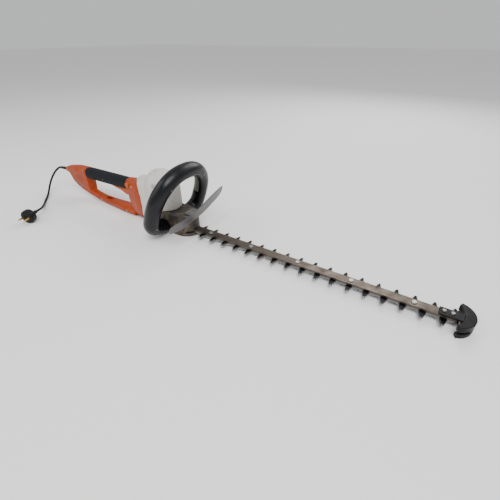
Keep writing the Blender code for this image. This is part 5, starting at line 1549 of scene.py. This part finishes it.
# ---------------------------------------------------------------- tip guard and the carried parts
@dataclass
class TipGuard:
    """The blunt black crescent at the blade's tip."""

    hub_x: float = 672 * MM
    reach: float = 33.5 * MM
    half_width: float = 38 * MM
    rail_top: float = 18.85 * MM

    def build(self) -> None:
        """Raise the crescent between two arcs, add its tongue, cut its two pockets and mould it."""
        outer = np.radians(np.linspace(-78, 78, 61))
        inner = np.radians(np.linspace(76, -76, 45))
        plan = np.vstack([
            np.column_stack([self.hub_x + share_x * self.reach * np.cos(arc),
                             share_y * self.half_width * np.sin(arc)])
            for arc, share_x, share_y in ((outer, 1.0, 1.0), (inner, 0.42, 0.80))])
        made = raised("tip_crescent", plan, (0.0, self.rail_top + 8 * MM))
        tongue = block("tongue", (643.5 * MM, -11 * MM, self.rail_top + GAP),
                       (698.8 * MM, 11 * MM, self.rail_top + 4.3 * MM))
        carve(made, Carve.ADD, tongue)
        cuts = [block("blade_pocket", (630 * MM, -90 * MM, 9.4 * MM), (698.4 * MM, 90 * MM, 14.5 * MM)),
                block("rail_pocket", (630 * MM, -11.4 * MM, 14.0 * MM), (676.2 * MM, 11.4 * MM, 19.0 * MM))]
        for number, x in enumerate((666.75 * MM, 651.75 * MM)):
            cuts.append(rod(f"tip_hole_{number}", 2.4 * MM, (x, 0, 15 * MM), (x, 0, 30 * MM)))
        carve(made, Carve.CUT, *cuts)
        mould(made, 0.8 * MM, 3)
        shade(made)
        deliver(made, [BLACK_NYLON], Body.MACHINE, "black_plastic", "tip_guard")


@dataclass
class CarriedParts:
    """The CAD nodes that keep their own shape, each with its real finish."""

    finishes: dict[str, Finish] = field(default_factory=lambda: {
        "guide_rail": RAIL_STEEL, "drive_gear": MOTOR_STEEL, "pinion": MOTOR_STEEL,
        "rotor_shaft": MOTOR_STEEL, "rotor_core": MOTOR_STEEL, "stator": MOTOR_STEEL,
        "commutator": COMMUTATOR_COPPER, "cooling_fan": BLACK_NYLON, "motor_end_bracket": BLACK_NYLON,
        "brush_left": BLACK_NYLON, "brush_right": BLACK_NYLON, "trigger_switch": BLACK_NYLON,
        "gear_bush": PIN_BRASS})

    def build(self) -> None:
        """Give every shown CAD node its finish; bearings and fasteners are zinc-bright steel."""
        for name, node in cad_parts.items():
            finish = self.finishes.get(name, ZINC_STEEL)
            for slot in node.material_slots:
                slot.link = "OBJECT"
                slot.material = finish.material()
            LOG.info("%s: dressed as %s", name, finish.name)


def main() -> None:
    """Build the studio and every sub-assembly, in order."""
    logging.basicConfig(level=logging.INFO, format="%(message)s")
    Studio().build()
    Lead().build()
    CarriedParts().build()
    RearHandle().build()
    MotorHousing().build()
    GearCase().build()
    LoopHandle().build()
    HandGuard().build()
    CuttingBlade("comb_upper", "upper_blade", Body.UPPER_BLADE, mating_z=12.15 * MM, outer_z=14.05 * MM,
                 yoke_x=-19 * MM, travel=18 * MM).build()
    CuttingBlade("comb_lower", "lower_blade", Body.LOWER_BLADE, mating_z=11.85 * MM, outer_z=9.95 * MM,
                 yoke_x=-1 * MM, travel=-18 * MM).build()
    TipGuard().build()


if __name__ == "__main__":
    main()
